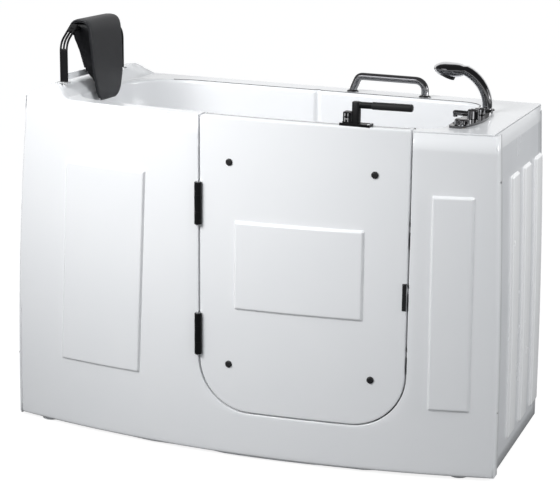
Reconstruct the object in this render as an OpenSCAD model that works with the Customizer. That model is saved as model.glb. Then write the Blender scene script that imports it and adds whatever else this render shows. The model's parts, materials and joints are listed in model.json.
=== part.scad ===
// Walk-in bathtub with an outward-opening door, a seat, a headrest and a deck-mounted tap set.
// X runs along the tub (head end at -X), the bowed front faces -Y, Z is up and the feet stand on Z = 0.

/* [Tub] */
// Overall length, measured at the floor
base_len = 1500; // [1460:10:1560]
// How far the head end spreads out on its way down to the floor
flare_head = 60; // [40:5:80]
// How far the foot end spreads out on its way down to the floor
flare_foot = 25; // [15:5:40]
// Depth of the tub at its two ends
end_depth = 600; // [590:5:640]
// How far the front bows out between the ends
bow = 85; // [75:5:95]
// Height of the rim at the head end
rim_h = 1006; // [996:2:1026]
// Fall of the rim towards the foot end, in degrees
rim_tilt = 1; // [0.5:0.25:1.5]
// Thickness of the moulded shell
shell_t = 5; // [4:0.5:6]
// Thickness of the front and end panels
panel_t = 4; // [3:0.5:5]
// Gap between the panels and the floor
toe_gap = 10; // [6:1:16]
// Height of the turned-down lip of the rim
lip_h = 45; // [35:1:55]
// Height of the raised shelf under the headrest
shelf_h = 34; // [24:1:40]

/* [Basin] */
// Height of the basin floor
floor_z = 125; // [120:1:140]
// Height of the seat
seat_z = 430; // [400:5:460]
// Width of the rim at the head end
deck_head = 135; // [125:1:145]
// Width of the rim at the foot end
deck_foot = 167; // [160:1:180]
// Width of the rim at the back
deck_back = 92; // [86:1:100]
// How far the backrest leans in between rim and seat
backrest_lean = 85; // [60:5:110]

/* [Door] */
// Place of the door's hinge edge along the tub
door_x = -100; // [-110:1:-90]
// Width of the door
door_w = 600; // [590:5:610]
// Height of the door's lower edge
door_z = 143; // [140:1:150]
// Radius of the door's lower corners
door_r = 150; // [120:5:170]
// Thickness of the door
door_t = 45; // [44:0.5:50]
// Overlap of the door over the frame's sealing face
seal_lap = 25; // [20:1:30]
// Thickness of the closed seal
seal_t = 4; // [3:0.5:6]

/* [Hinges] */
// Length of one hinge
hinge_len = 120; // [100:5:140]
// Radius of the hinge barrel
barrel_r = 10.5; // [9:0.5:11.5]
// Radius of the hinge pin
pin_r = 4; // [3:0.5:5]
// How far the barrel stands proud of the front
barrel_proud = 15; // [14:0.5:18]

/* [Latch] */
// Place of the lever's post, back from the door's free edge
lever_back = 156; // [146:1:166]
// Height of the lever above the rim
lever_rise = 66; // [60:1:80]
// Reach of the lever from its post
lever_reach = 158; // [140:1:175]
// Drop of the lock bar in a quarter turn of the lever
lock_drop = 30; // [24:1:32]
// Radius of the lock studs
stud_r = 5; // [4:0.5:5.5]
// Reach of a lock stud past the door's edge
stud_reach = 7; // [6:0.5:8]

/* [Fittings] */
// Radius of the grab bar's tube
grab_r = 11; // [9:0.5:12.5]
// Height of the grab bar above the rim
grab_rise = 60; // [50:1:80]
// Length of the tap plate
tap_len = 335; // [320:5:350]
// Radius of the hand shower's handle
handset_r = 14.5; // [13:0.5:15]
// Radius of the waste pipe's outlet
waste_r = 20; // [16:0.5:22]

/* [Headrest] */
// Width of the pad at its top
pad_w = 204; // [188:4:220]
// Distance between the two side brackets
bracket_gap = 375; // [360:5:390]
// Height of the pad's pivot rod above the shelf
rod_rise = 152; // [140:1:165]
// Radius of the pivot rod
rod_r = 7; // [6:0.5:8]

/* [Hidden] */

// Roundness of the large curves, of hardware and of small holes
$fn = 48;
FN_BIG = 720;
FN_MID = 96;
EPS = 0.1;      // overlap that joins two shapes of one piece
FIT = 0.05;     // radial clearance of a running fit
GAP = 0.3;      // gap between pieces of different bodies

WHITE = [0.95, 0.96, 0.97];
BLACK = [0.06, 0.06, 0.065];
CHROME = [0.78, 0.79, 0.81];
STEEL = [0.6, 0.61, 0.63];
BRASS = [0.76, 0.62, 0.32];
PLY = [0.72, 0.56, 0.36];
PLASTIC = [0.82, 0.83, 0.84];

// Main places
base_l = -base_len / 2;
base_r = base_len / 2;
rim_l = base_l + flare_head;
rim_r = base_r - flare_foot;
rim_mid = (rim_l + rim_r) / 2;
rim_half = (rim_r - rim_l) / 2;
back_y = (end_depth + bow + barrel_proud) / 2;
apex_y = back_y - end_depth - bow;
front_R = (rim_half * rim_half + bow * bow) / (2 * bow);
front_yc = apex_y + front_R;
head_R = (rim_h * rim_h + flare_head * flare_head) / (2 * flare_head);
foot_R = (rim_h * rim_h + flare_foot * flare_foot) / (2 * flare_foot);

// Front surface at x, or a surface that lies `in` behind it
function front_y(x, in = 0) = front_yc - sqrt(pow(front_R - in, 2) - pow(x - rim_mid, 2));
function front_turn(x) = asin((x - rim_mid) / front_R);
function deck_z(x) = rim_h - tan(rim_tilt) * (x - rim_l);

// Layers behind the front surface at the door
hinge_gap = 5;
free_gap = 4;
in_seal = door_t + GAP;
in_jamb = in_seal + seal_t;
jamb_t = 2;
in_wall = in_jamb + jamb_t;
in_cavity = in_wall + shell_t;
door_end = door_x + door_w;
skin_t = 4;
skin_seam = 26;

// Basin
cav_l = rim_l + deck_head;
cav_r = rim_r - deck_foot;
cav_back = back_y - deck_back;
cav_corner = 130;
cav_corner_back = 200;
cav_corner_foot = 60;
cav_front_foot = front_y(cav_r, in_cavity) - 4;
step_x = door_end - 12;
riser_x = door_x + seal_lap - 10;
seat_back = cav_l + backrest_lean;
flute_x = 40;

// Frame
tube = 30;
slim = 20;
tube_wall = 2;
board_t = 18;
rail_top = floor_z - shell_t - board_t;
rail_z = rail_top - tube;
rail_front = front_y(base_l + 60) + 16;
rail_back = back_y - 60;
rail_l = base_l + 55;
rail_r = base_r - 55;
foot_x = [rail_l + 50, 0, rail_r - 50];
foot_stud_r = 6;
seat_board_t = 12;

// Hinges
hinge_x = door_x - hinge_gap / 2;
hinge_y = -back_y + barrel_r;
hinge_z = [364, 745];
leaf_t = 1.8;
knuckle_mid = 48;
notch_r = barrel_r + 1.2;
leaf_depth = 38;
screw_r = 1.8;
screw_in = 27;
screw_step = 42;

// Latch
lever_x = door_end - lever_back;
lever_y = front_y(lever_x, door_t / 2);
lever_z = deck_z(lever_x);
post_r = 11.5;
shaft_r = 8;
arm_r = 9.2;
grip_r = 10.4;
grip_start = 45;
core_r = 7;
cam_r = 13;
cam_z = 815;
cam_low = lock_drop + 14;
cam_high = 16;
groove_r = 3.8;
follower_r = 17.5;
follower_h = 16;
follower_pin_r = 2.5;
stud_y = front_y(door_end, 25);
stud_z = [340, 522, 695];
mouth_rise = 18;
keeper_h = 76;
bar_x = door_end - 22;
bar_t = 6;
bar_w = 18;

// Heights of the screws that hold the end panels
end_screw_z = [200, rim_h - 156];

// Drain and overflow
drain_x = min(door_end - 70, rim_r - deck_foot - 118);
drain_y = 40;
drain_r = 25;
waste_z = toe_gap + waste_r + 18;
overflow_z = 800;
overflow_x = cav_r + shell_t;
overflow_pipe_x = overflow_x + 27;

// Deck fittings, as [x, y] places on the rim
grab_y = back_y - 58;
grab_x0 = 143;
grab_x1 = 372;
tap_x = cav_r + 51;
tap_y = -38;
tap_w = 67;
tap_plate_t = 7;
flow_at = -148;
spout_at = -26;
diverter_at = 56;
shower_at = 142;
shower_bend = 110;
socket_r = 18;

// Headrest
bracket_x = cav_l - 32;
pad_y = 282.5 - end_depth / 2;
bracket_w = 24;
bracket_t = 6;
rod_x = bracket_x + 2;
shelf_z = deck_z(bracket_x) + shelf_h / cos(rim_tilt) + 0.01;
rod_z = shelf_z + rod_rise;

// ---------- helpers ----------

function unit(v) = v / norm(v);

// Points of a round corner of radius r at p between neighbours a and b
function corner(p, a, b, r, n) = r <= 0 ? [p] :
    let (u = unit(a - p), v = unit(b - p), half = acos(u * v) / 2,
         c = p + unit(u + v) * r / sin(half),
         s = p + u * r / tan(half) - c, e = p + v * r / tan(half) - c,
         a0 = atan2(s.y, s.x), turn = (atan2(e.y, e.x) - a0 + 900) % 360 - 180)
    [for (i = [0:n]) c + r * [cos(a0 + turn * i / n), sin(a0 + turn * i / n)]];

// Closed outline with a radius at each point
function rounded(pts, radii, n = 6) =
    [for (i = [0:len(pts) - 1])
        each corner(pts[i], pts[(i + len(pts) - 1) % len(pts)], pts[(i + 1) % len(pts)], radii[i], n)];

// Box between two corners
module box(lo, hi) {
    translate(lo) cube(hi - lo);
}

// Child outline in X and Z, extruded from y0 to y1
module along_y(y0, y1) {
    translate([0, y1, 0]) rotate([90, 0, 0]) linear_extrude(y1 - y0) children();
}

// Child outline in Y and Z, extruded from x0 to x1
module along_x(x0, x1) {
    translate([x0, 0, 0]) rotate([90, 0, 90]) linear_extrude(x1 - x0) children();
}

// Everything behind the bowed front, `in` behind its surface
module behind_front(in) {
    intersection() {
        translate([rim_mid, front_yc, -50]) cylinder(r = front_R - in, h = 1500, $fn = FN_BIG);
        box([base_l - 50, -back_y - 50, -50], [base_r + 50, back_y, 1450]);
    }
}

// Curved sheet between two depths behind the front surface
module front_sheet(in0, in1) {
    difference() {
        behind_front(in0);
        behind_front(in1);
        box([base_l - 60, 0, -60], [base_r + 60, back_y + 1, 1460]);
    }
}

// Everything between the two flared ends, `in` inside them
module between_ends(in) {
    intersection() {
        translate([base_l + head_R, -back_y - 60, 0]) rotate([-90, 0, 0])
            cylinder(r = head_R - in, h = 2 * back_y + 120, $fn = FN_BIG);
        translate([base_r - foot_R, -back_y - 60, 0]) rotate([-90, 0, 0])
            cylinder(r = foot_R - in, h = 2 * back_y + 120, $fn = FN_BIG);
        box([base_l - 1, -back_y - 60, -40], [base_r + 1, back_y + 60, 1200]);
    }
}

// Everything under the rim's top face, lowered by d
module under_rim(d, z0 = -20) {
    x0 = base_l - 40;
    x1 = base_r + 40;
    along_y(-back_y - 40, back_y + 40)
        polygon([[x0, z0], [x1, z0], [x1, deck_z(x1) - d], [x0, deck_z(x0) - d]]);
}

// Children in a frame that stands on the rim at (x, y), with Z square to it
module on_rim(x, y) {
    translate([x, y, deck_z(x)]) rotate([0, rim_tilt, 0]) children();
}

// Children in a frame on the front surface at (x, z), with -Y pointing straight out
module on_front(x, z, in = 0) {
    translate([x, front_y(x), z]) rotate([0, 0, front_turn(x)]) translate([0, in, 0]) children();
}

// Door outline in X and Z, grown by g (gl at the hinge side), open upwards
module door_outline(g, gl) {
    x0 = door_x - gl;
    x1 = door_end + g;
    z0 = door_z - g;
    r = door_r + g;
    translate([x0, z0 + r]) square([x1 - x0, 1200 - z0 - r]);
    translate([x0 + r, z0]) square([x1 - x0 - 2 * r, r + 1]);
    for (x = [x0 + r, x1 - r]) translate([x, z0 + r]) circle(r, $fn = FN_MID * 2);
}

module door_prism(g, gl = undef) {
    along_y(-back_y - 40, 0) door_outline(g, is_undef(gl) ? g : gl);
}

// Square tube along Z, X or Y from its low corner
module square_tube(size, length, wall = tube_wall) {
    difference() {
        cube([size, size, length]);
        translate([wall, wall, -1]) cube([size - 2 * wall, size - 2 * wall, length + 2]);
    }
}

module tube_x(size, x0, x1, y, z) {
    translate([x0, y, z]) rotate([90, 0, 90]) square_tube(size, x1 - x0);
}

module tube_y(size, y0, y1, x, z) {
    translate([x, y1, z]) rotate([90, 0, 0]) square_tube(size, y1 - y0);
}

// Round bar through a list of points, with ball joints at the bends
module bent_bar(pts, r) {
    for (i = [0:len(pts) - 2]) {
        v = pts[i + 1] - pts[i];
        translate(pts[i]) rotate([0, acos(v.z / norm(v)), atan2(v.y, v.x)]) cylinder(r = r, h = norm(v));
    }
    for (i = [1:len(pts) - 2]) translate(pts[i]) sphere(r + 0.04);
}

// Raised panel on the front, with a stepped edge
module raised_panel(pts, rise = 8, edge = 6) {
    c = (pts[0] + pts[2]) / 2;
    intersection() {
        front_sheet(-rise / 2, EPS);
        along_y(-back_y - 40, 0) polygon(pts);
    }
    intersection() {
        front_sheet(-rise, EPS);
        along_y(-back_y - 40, 0) polygon([for (p = pts) p + edge * [sign(c.x - p.x), sign(c.y - p.y)]]);
    }
}

// ---------- tub ----------

// Basin in plan, grown by g
module basin_plan(g) {
    front_edge = front_y(cav_l + cav_corner, in_cavity);
    difference() {
        union() {
            translate([cav_l - g, -back_y]) square([step_x - cav_l + g, cav_back + g + back_y]);
            translate([cav_l - g, cav_front_foot - g])
                square([cav_r - cav_l + 2 * g, cav_back - cav_front_foot + 2 * g]);
            translate([flute_x, cav_back - 2]) circle(10 + g);
        }
        // round corners: [centre x, centre y, radius, side in x, side in y, cut length in y]
        for (c = [
            [cav_l + cav_corner, front_edge + cav_corner, cav_corner, -1, -1, 400],
            [cav_l + cav_corner_back, cav_back - cav_corner_back, cav_corner_back, -1, 1, 0],
            [cav_r - cav_corner_foot, cav_back - cav_corner_foot, cav_corner_foot, 1, 1, 0],
            [cav_r - cav_corner_foot, cav_front_foot + cav_corner_foot, cav_corner_foot, 1, -1, 0]
        ])
            translate([c[0], c[1]]) scale([c[3], c[4]]) difference() {
                square([c[2] + g + 1, max(c[2] + g + 1, c[5])]);
                circle(c[2] + g, $fn = FN_MID * 2);
            }
    }
}

// Basin seen from the front, grown by g
function basin_profile(g) = rounded(
    [[cav_l - g, 1300], [cav_l - g, rim_h - 40], [seat_back - g, seat_z - g], [riser_x - g, seat_z - g],
     [riser_x - g, floor_z - g], [cav_r + g, floor_z - g], [cav_r + g, 1300]],
    [0, 60, 60 + g, 32 - g, 45 + g, 45 + g, 0]);

module basin(g) {
    intersection() {
        linear_extrude(1300) basin_plan(g);
        behind_front(in_cavity - g);
        along_y(-back_y - 40, back_y) polygon(basin_profile(g));
    }
}

// Raised shelf under the headrest with bevelled sides, lowered and drawn in by d
module shelf(d) {
    side = 72;
    z0 = deck_z(cav_l);
    intersection() {
        translate([rim_l, 0, rim_h]) rotate([0, rim_tilt, 0]) along_y(-back_y, back_y - 3)
            polygon([[d, -shell_t - d], [d, -d], [side + d, shelf_h - d], [side + 98 - d, shelf_h - d],
                     [side + 135 - d, -d], [side + 135 - d, -shell_t - d]]);
        translate([rim_mid, front_yc, z0 - 40])
            cylinder(r1 = front_R + 36 - 1.4 * d, r2 = front_R - 64 - 1.4 * d, h = 100, $fn = FN_BIG);
        along_x(rim_l, cav_l + 150)
            polygon([[-back_y, z0 - 40], [back_y - 4 - 1.4 * d + 40, z0 - 40],
                     [back_y - 4 - 1.4 * d - 60, z0 + 60], [-back_y, z0 + 60]]);
        behind_front(1 + d);
    }
}

// Outline of the rim's top sheet with its turned-down ends
module rim_cap_profile() {
    x0 = rim_l;
    x1 = rim_r - 10;
    t = shell_t;
    polygon([
        [x0, deck_z(x0)], [x1, deck_z(x1)],
        [rim_r + 1, deck_z(x1) - lip_h], [rim_r + 1 - t, deck_z(x1) - lip_h],
        [x1 - t, deck_z(x1 - t) - t], [x0 + t, deck_z(x0 + t) - t],
        [x0 + t - 4, deck_z(x0) - lip_h], [x0 - 4, deck_z(x0) - lip_h]
    ]);
}

module tub_shell() {
    color(WHITE) difference() {
        union() {
            intersection() {
                along_y(-back_y - 40, back_y) rim_cap_profile();
                behind_front(0);
            }
            // back lip
            intersection() {
                box([rim_l, back_y - shell_t, rim_h - 80], [rim_r - 10, back_y, rim_h]);
                under_rim(EPS);
                difference() {
                    under_rim(-1);
                    under_rim(lip_h);
                }
            }
            shelf(0);
            intersection() {
                basin(shell_t);
                union() {
                    under_rim(EPS);
                    shelf(0);
                }
            }
        }
        basin(0);
        difference() {
            shelf(shell_t + FIT);
            basin(shell_t);
        }
        // room for the front panel under the rim's top sheet
        difference() {
            under_rim(shell_t);
            behind_front(panel_t + EPS);
        }
        // door notch in the rim and clear opening in the front wall
        difference() {
            box([door_x - hinge_gap, -back_y - 40, rim_h - 200], [door_end + free_gap, 0, rim_h + 50]);
            behind_front(in_jamb);
        }
        intersection() {
            door_prism(-seal_lap);
            box([base_l, -back_y - 40, 0], [base_r, front_y(door_end, in_cavity) + 10, 1200]);
        }
        // holes for the drain, overflow and deck fittings
        translate([drain_x, drain_y, floor_z - 20]) cylinder(r = drain_r + 1, h = 40);
        translate([cav_r - 5, drain_y, overflow_z]) rotate([0, 90, 0]) cylinder(r = 19, h = 20);
        for (y = [flow_at, spout_at, diverter_at])
            on_rim(tap_x, tap_y + y) translate([0, 0, -20]) cylinder(r = 11, h = 40);
        on_rim(tap_x, tap_y + shower_at) translate([0, 0, -20]) cylinder(r = socket_r + 1, h = 40);
        for (x = [grab_x0, grab_x1]) on_rim(x, grab_y) translate([0, 0, -20]) cylinder(r = 4.2, h = 40);
        for (y = bracket_places()) on_shelf(y) translate([0, 0, -20]) cylinder(r = 4.2, h = 40);
    }
}

module front_apron() {
    top_gap = shell_t;
    color(WHITE) difference() {
        union() {
            intersection() {
                front_sheet(0, panel_t);
                between_ends(0);
                under_rim(top_gap, toe_gap);
            }
            // returns at the two ends
            intersection() {
                difference() {
                    between_ends(0);
                    between_ends(panel_t);
                }
                behind_front(EPS);
                under_rim(lip_h + 1, toe_gap);
                union() {
                    box([rim_r - 30, -back_y, 0], [base_r + 1, front_y(rim_r) + 42, 1200]);
                    box([base_l - 1, -back_y, 0], [rim_l + 40, front_y(rim_l) + 42, 1200]);
                }
            }
            // reveal round the door
            intersection() {
                front_sheet(0, in_jamb);
                difference() {
                    door_prism(free_gap + panel_t, hinge_gap + panel_t);
                    door_prism(free_gap, hinge_gap);
                }
                under_rim(top_gap);
            }
            intersection() {
                raised_panel([[-577, 215], [-297, 215], [-271, 823], [-546, 829]]);
                between_ends(0);
            }
            raised_panel([[door_end + 63, 201], [door_end + 180, 201],
                          [door_end + 174, 812], [door_end + 58, 812]]);
        }
        door_prism(free_gap, hinge_gap);
        for (z = hinge_z) translate([hinge_x, hinge_y, z - hinge_len / 2 - 1])
            cylinder(r = notch_r, h = hinge_len + 2);
        for (z = stud_z)
            box([door_end, -back_y, z - keeper_h / 2], [door_end + 17, stud_y + 12, z + keeper_h / 2]);
        for (z = stud_z, s = [-1, 1]) keeper_screw_at(z, s) cylinder(r = screw_r + FIT, h = 20);
        for (z = hinge_z, i = [-1:1]) translate([hinge_x - 10, hinge_y + screw_in, z + i * screw_step])
            rotate([0, 90, 0]) cylinder(r = screw_r + FIT, h = 10);
        for (x = [rim_l, rim_r], z = end_screw_z)
            translate([x, front_y(x) + 26, z]) rotate([0, 90, 0]) cylinder(r = 2.2, h = 200, center = true);
    }
}

// Outline of one flared end in X and Z from the floor up, `in` inside its surface; side is -1 or 1
function end_line(side, in, n = 20) = [for (i = [0:n])
    let (z = toe_gap + (rim_h - toe_gap) * i / n, R = side > 0 ? foot_R : head_R)
    [side * (base_len / 2 - R + sqrt(pow(R - in, 2) - z * z)), z]];

module end_slab(side, in0, in1) {
    along_y(-back_y, back_y)
        polygon(concat(end_line(side, in0), [for (i = [20:-1:0]) end_line(side, in1)[i]]));
}

// Ribbed end panel, recessed behind the returns of the front; side is -1 at the head, 1 at the foot
module end_panel(side) {
    recess = 9;
    rib_w = 90;
    y0 = front_y(side > 0 ? base_r : base_l) + 10;
    intersection() {
        union() {
            end_slab(side, recess, recess + panel_t);
            intersection() {
                end_slab(side, recess - 7, recess + 1);
                union() for (i = [0:2]) {
                    yc = back_y - 55 - (2 - i) * 155;
                    box([base_l, yc - rib_w / 2, 62], [base_r, yc + rib_w / 2, 838]);
                }
            }
        }
        box([base_l, y0, toe_gap], [base_r, back_y - shell_t - GAP, 1200]);
        under_rim(lip_h - 4, toe_gap);
    }
}

module foot_end_panel() {
    color(WHITE) difference() {
        end_panel(1);
        end_screw_holes(rim_r, 2.2);
    }
}

module head_end_panel() {
    color(WHITE) difference() {
        end_panel(-1);
        end_screw_holes(rim_l, 2.2);
    }
}

module end_screw_holes(x, r) {
    for (z = end_screw_z) translate([x, front_y(x) + 26, z]) rotate([0, 90, 0])
        cylinder(r = r, h = 200, center = true);
}

module end_panel_screws() {
    color(STEEL) for (side = [-1, 1], z = end_screw_z) {
        x = side > 0 ? rim_r : rim_l;
        flare = side > 0 ? flare_foot : flare_head;
        face = x + side * flare * (1 - pow(z / rim_h, 2));
        translate([face - side * 18, front_y(x) + 26, z]) rotate([0, side * 90, 0]) {
            lift = 18.05 + 9.5 * flare * z / pow(rim_h, 2);
            cylinder(r = 2, h = lift + EPS);
            translate([0, 0, lift]) cylinder(r1 = 4.5, r2 = 3.5, h = 2);
        }
    }
}

// ---------- frame ----------

cross_x = [rail_l + 10, seat_back + 20, door_x - 32, 200, door_end + 10, rail_r - 10 - tube];

module base_long_rails() {
    color(STEEL) difference() {
        for (y = [rail_front, rail_back]) tube_x(tube, rail_l, rail_r, y, rail_z);
        foot_holes(foot_stud_r + FIT);
    }
}

module foot_holes(r) {
    for (x = foot_x, y = [rail_front, rail_back])
        translate([x, y + tube / 2, -1]) cylinder(r = r, h = rail_z + tube / 2 + 1);
}

module base_cross_rails() {
    color(STEEL) {
        for (x = cross_x) tube_y(tube, rail_front + tube, rail_back, x, rail_z);
        for (i = [2, 4]) {
            x = cross_x[i];
            tube_y(tube, max(front_y(x, in_jamb), front_y(x + tube, in_jamb)) + EPS, rail_front, x, rail_z);
        }
    }
}

module door_sill_rail() {
    color(STEEL) intersection() {
        front_sheet(14, in_jamb);
        box([door_x - 40, -back_y, rail_z], [door_end + 45, 0, rail_top]);
    }
}

// Uprights at the corners, beside the door and under the seat
module frame_posts() {
    color(STEEL) {
        for (x = [rail_l + 25, rail_r - 25 - slim], y = [rail_front + 5, rail_back + 10])
            intersection() {
                translate([x, y, rail_top]) square_tube(slim, 1000);
                under_rim(shell_t + slim + EPS);
            }
        for (x = [door_x - hinge_gap - panel_t - 2 - slim, door_end + 20])
            intersection() {
                translate([x, front_y(x + slim / 2, in_jamb) - slim - 3, rail_top]) square_tube(slim, 1000);
                under_rim(shell_t + EPS);
            }
        for (x = [cross_x[1] + 30, cross_x[2] - 22], y = [-190, cav_back - 40])
            translate([x, y, rail_top]) square_tube(slim, seat_z - shell_t - seat_board_t - rail_top);
    }
}

module rim_rails() {
    w0 = -shell_t - slim - FIT;
    color(STEEL) translate([rim_l, 0, rim_h]) rotate([0, rim_tilt, 0]) {
        x0 = 14;
        x1 = rim_r - rim_l - 22 - slim;
        tube_x(slim, x0, x1 + slim, rail_back + 15, w0);
        for (x = [x0, x1]) tube_y(slim, rail_front + 5, rail_back + 15, x, w0);
    }
}

module floor_board() {
    color(PLY) difference() {
        intersection() {
            box([riser_x - 40, -back_y, rail_top], [cav_r + 8, cav_back + 10, rail_top + board_t]);
            behind_front(in_wall + 2);
            box([-1000, rail_front + 2, 0], [1000, back_y, 300]);
        }
        translate([drain_x, drain_y, rail_top - 1]) cylinder(r = drain_r + 12, h = board_t + 2);
    }
}

module seat_board() {
    z1 = seat_z - shell_t;
    color(PLY) intersection() {
        box([seat_back + 45, -back_y, z1 - seat_board_t], [riser_x - 45, cav_back, z1]);
        behind_front(in_wall + 6);
    }
}

module levelling_feet() {
    color(BLACK) for (x = foot_x, y = [rail_front, rail_back]) translate([x, y + tube / 2, 0]) {
        rotate_extrude() polygon(rounded([[0, 0], [28, 0], [28, 6], [12, 13], [0, 13]], [0, 2, 2, 4, 0]));
        translate([0, 0, 12]) cylinder(r = foot_stud_r, h = rail_z + tube / 2 - 14);
    }
}

module foot_locknuts() {
    color(STEEL) for (x = foot_x, y = [rail_front, rail_back])
        translate([x, y + tube / 2, rail_z - 9]) difference() {
            cylinder(r = 10.5, h = 9, $fn = 6);
            translate([0, 0, -1]) cylinder(r = foot_stud_r + FIT, h = 11);
        }
}

// ---------- door frame ----------

module door_jamb_plate() {
    color(STEEL) intersection() {
        front_sheet(in_jamb, in_wall);
        difference() {
            door_prism(28);
            door_prism(-seal_lap + 1);
        }
        under_rim(shell_t, rail_top);
    }
}

module door_seal() {
    color(BLACK) intersection() {
        front_sheet(in_seal, in_jamb);
        difference() {
            door_prism(-2);
            door_prism(-seal_lap + 3);
        }
        under_rim(1);
    }
}

module hinge_frame_leaves() {
    color(BLACK) for (z = hinge_z) translate([hinge_x, hinge_y, z - hinge_len / 2]) difference() {
        union() {
            cylinder(r = barrel_r, h = hinge_len);
            box([-hinge_gap / 2, 0, 0], [-hinge_gap / 2 + leaf_t, leaf_depth, hinge_len]);
        }
        translate([0, 0, (hinge_len - knuckle_mid) / 2 - GAP])
            cylinder(r = barrel_r + GAP, h = knuckle_mid + 2 * GAP);
        translate([0, 0, -1]) cylinder(r = pin_r + FIT, h = hinge_len + 2);
        leaf_screw_holes(-1);
    }
}

// Countersunk screw from the face of a leaf; side is -1 for the frame, 1 for the door
module leaf_screw(side, grow) {
    x = side * (hinge_gap / 2 - leaf_t);
    translate([x, 0, 0]) rotate([0, side * 90, 0]) {
        translate([0, 0, -grow]) cylinder(r1 = 3.4 + grow, r2 = screw_r + grow, h = leaf_t + grow);
        translate([0, 0, leaf_t - EPS]) cylinder(r = screw_r + grow, h = 8);
    }
}

module leaf_screw_holes(side) {
    for (i = [-1:1]) translate([0, screw_in, hinge_len / 2 + i * screw_step]) leaf_screw(side, FIT);
}

module leaf_screws(side) {
    for (z = hinge_z, i = [-1:1])
        translate([hinge_x, hinge_y + screw_in, z + i * screw_step]) leaf_screw(side, 0);
}

module hinge_frame_screws() {
    color(STEEL) leaf_screws(-1);
}

module hinge_door_screws() {
    color(STEEL) leaf_screws(1);
}

module hinge_door_leaves() {
    color(BLACK) for (z = hinge_z) translate([hinge_x, hinge_y, z - hinge_len / 2]) difference() {
        union() {
            translate([0, 0, (hinge_len - knuckle_mid) / 2]) cylinder(r = barrel_r, h = knuckle_mid);
            box([hinge_gap / 2 - leaf_t, 0, 0], [hinge_gap / 2, leaf_depth, hinge_len]);
        }
        for (z0 = [-1, (hinge_len + knuckle_mid) / 2]) translate([0, 0, z0])
            cylinder(r = barrel_r + GAP, h = (hinge_len - knuckle_mid) / 2 + 1);
        translate([0, 0, -1]) cylinder(r = pin_r + FIT, h = hinge_len + 2);
        leaf_screw_holes(1);
    }
}

module hinge_pins() {
    color(STEEL) for (z = hinge_z) translate([hinge_x, hinge_y, z - hinge_len / 2]) {
        cylinder(r = pin_r, h = hinge_len);
        for (z0 = [-3, hinge_len]) translate([0, 0, z0]) cylinder(r = pin_r + 3, h = 3);
    }
}

// Children at a keeper's screw, with Z along the screw from its tip; s is -1 or 1
module keeper_screw_at(z, s) {
    translate([door_end + free_gap + EPS, stud_y + 4, z + s * (keeper_h / 2 + 9)])
        rotate([0, 90, 0]) children();
}

module latch_keepers() {
    slot = stud_r + 0.5;
    x0 = door_end + free_gap;
    color(BLACK) for (z = stud_z) difference() {
        union() {
            intersection() {
                box([x0, -back_y, z - keeper_h / 2], [x0 + 12, stud_y + 12, z + keeper_h / 2]);
                behind_front(0.4);
            }
            box([x0 + panel_t, stud_y - 4, z - keeper_h / 2 - 16],
                [x0 + panel_t + 3, stud_y + 12, z + keeper_h / 2 + 16]);
        }
        for (s = [-1, 1]) keeper_screw_at(z, s) cylinder(r = screw_r + FIT, h = 20);
        // slot that the stud drops in, and its mouth to the front
        box([x0 - 1, stud_y - slot, z - lock_drop + mouth_rise - stud_r - 3],
            [x0 + 8, stud_y + slot, z + mouth_rise + stud_r + 3]);
        box([x0 - 1, -back_y, z + mouth_rise - stud_r - 3],
            [x0 + 8, stud_y + slot, z + mouth_rise + stud_r + 3]);
    }
}

module keeper_screws() {
    color(STEEL) for (z = stud_z, s = [-1, 1]) keeper_screw_at(z, s) {
        cylinder(r = screw_r, h = panel_t + 3.2);
        translate([0, 0, panel_t + 3 - EPS]) cylinder(r1 = 3.6, r2 = 2.8, h = 1.8);
    }
}

// ---------- door ----------

// Closed ring of the door's outline, t wide
module door_rim(t) {
    difference() {
        intersection() {
            door_prism(0);
            under_rim(0);
        }
        intersection() {
            door_prism(-t);
            under_rim(t);
        }
    }
}

// What both skins of the door leave free
module door_cutouts() {
    for (z = hinge_z) translate([hinge_x, hinge_y, z - hinge_len / 2 - 4])
        cylinder(r = notch_r + 0.6, h = hinge_len + 8);
    translate([lever_x, lever_y, 700]) cylinder(r = shaft_r + 0.5, h = 400);
    for (z = stud_z)
        box([door_end - 10, stud_y - stud_r - 1, z + mouth_rise - lock_drop - stud_r - 2],
            [door_end + 1, stud_y + stud_r + 1, z + mouth_rise + stud_r + 2]);
    for (p = bolt_places()) on_front(p.x, p.y) rotate([90, 0, 0]) cylinder(r = 4.2, h = 200, center = true);
    for (z = hinge_z, i = [-1:1]) translate([hinge_x, hinge_y + screw_in, z + i * screw_step])
        rotate([0, 90, 0]) cylinder(r = screw_r + FIT, h = 12);
    for (x = [-38, 38], y = [-11, 11]) on_rim(lever_x + x, lever_y + y)
        translate([0, 0, -20]) cylinder(r = 1.9, h = 40);
}

function bolt_places() = [[door_x + 90, 868], [door_end - 95, 859], [door_x + 90, 282], [door_end - 95, 278]];

module door_outer_skin() {
    color(WHITE) difference() {
        union() {
            intersection() {
                front_sheet(0, skin_t);
                door_prism(0);
                under_rim(0);
            }
            intersection() {
                front_sheet(0, skin_seam - EPS);
                door_rim(skin_t);
            }
            raised_panel([[door_x + 105, 445], [door_x + 482, 445],
                          [door_x + 482, 705], [door_x + 105, 705]]);
        }
        door_cutouts();
        on_front(door_end - 6, stud_z[1]) box([-7, -1, -39], [5, 1.2, 39]);
    }
}

module door_inner_skin() {
    color(WHITE) difference() {
        union() {
            intersection() {
                front_sheet(door_t - skin_t, door_t);
                door_prism(0);
                under_rim(0);
            }
            intersection() {
                front_sheet(skin_seam + EPS, door_t);
                door_rim(skin_t);
            }
        }
        door_cutouts();
    }
}

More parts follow.
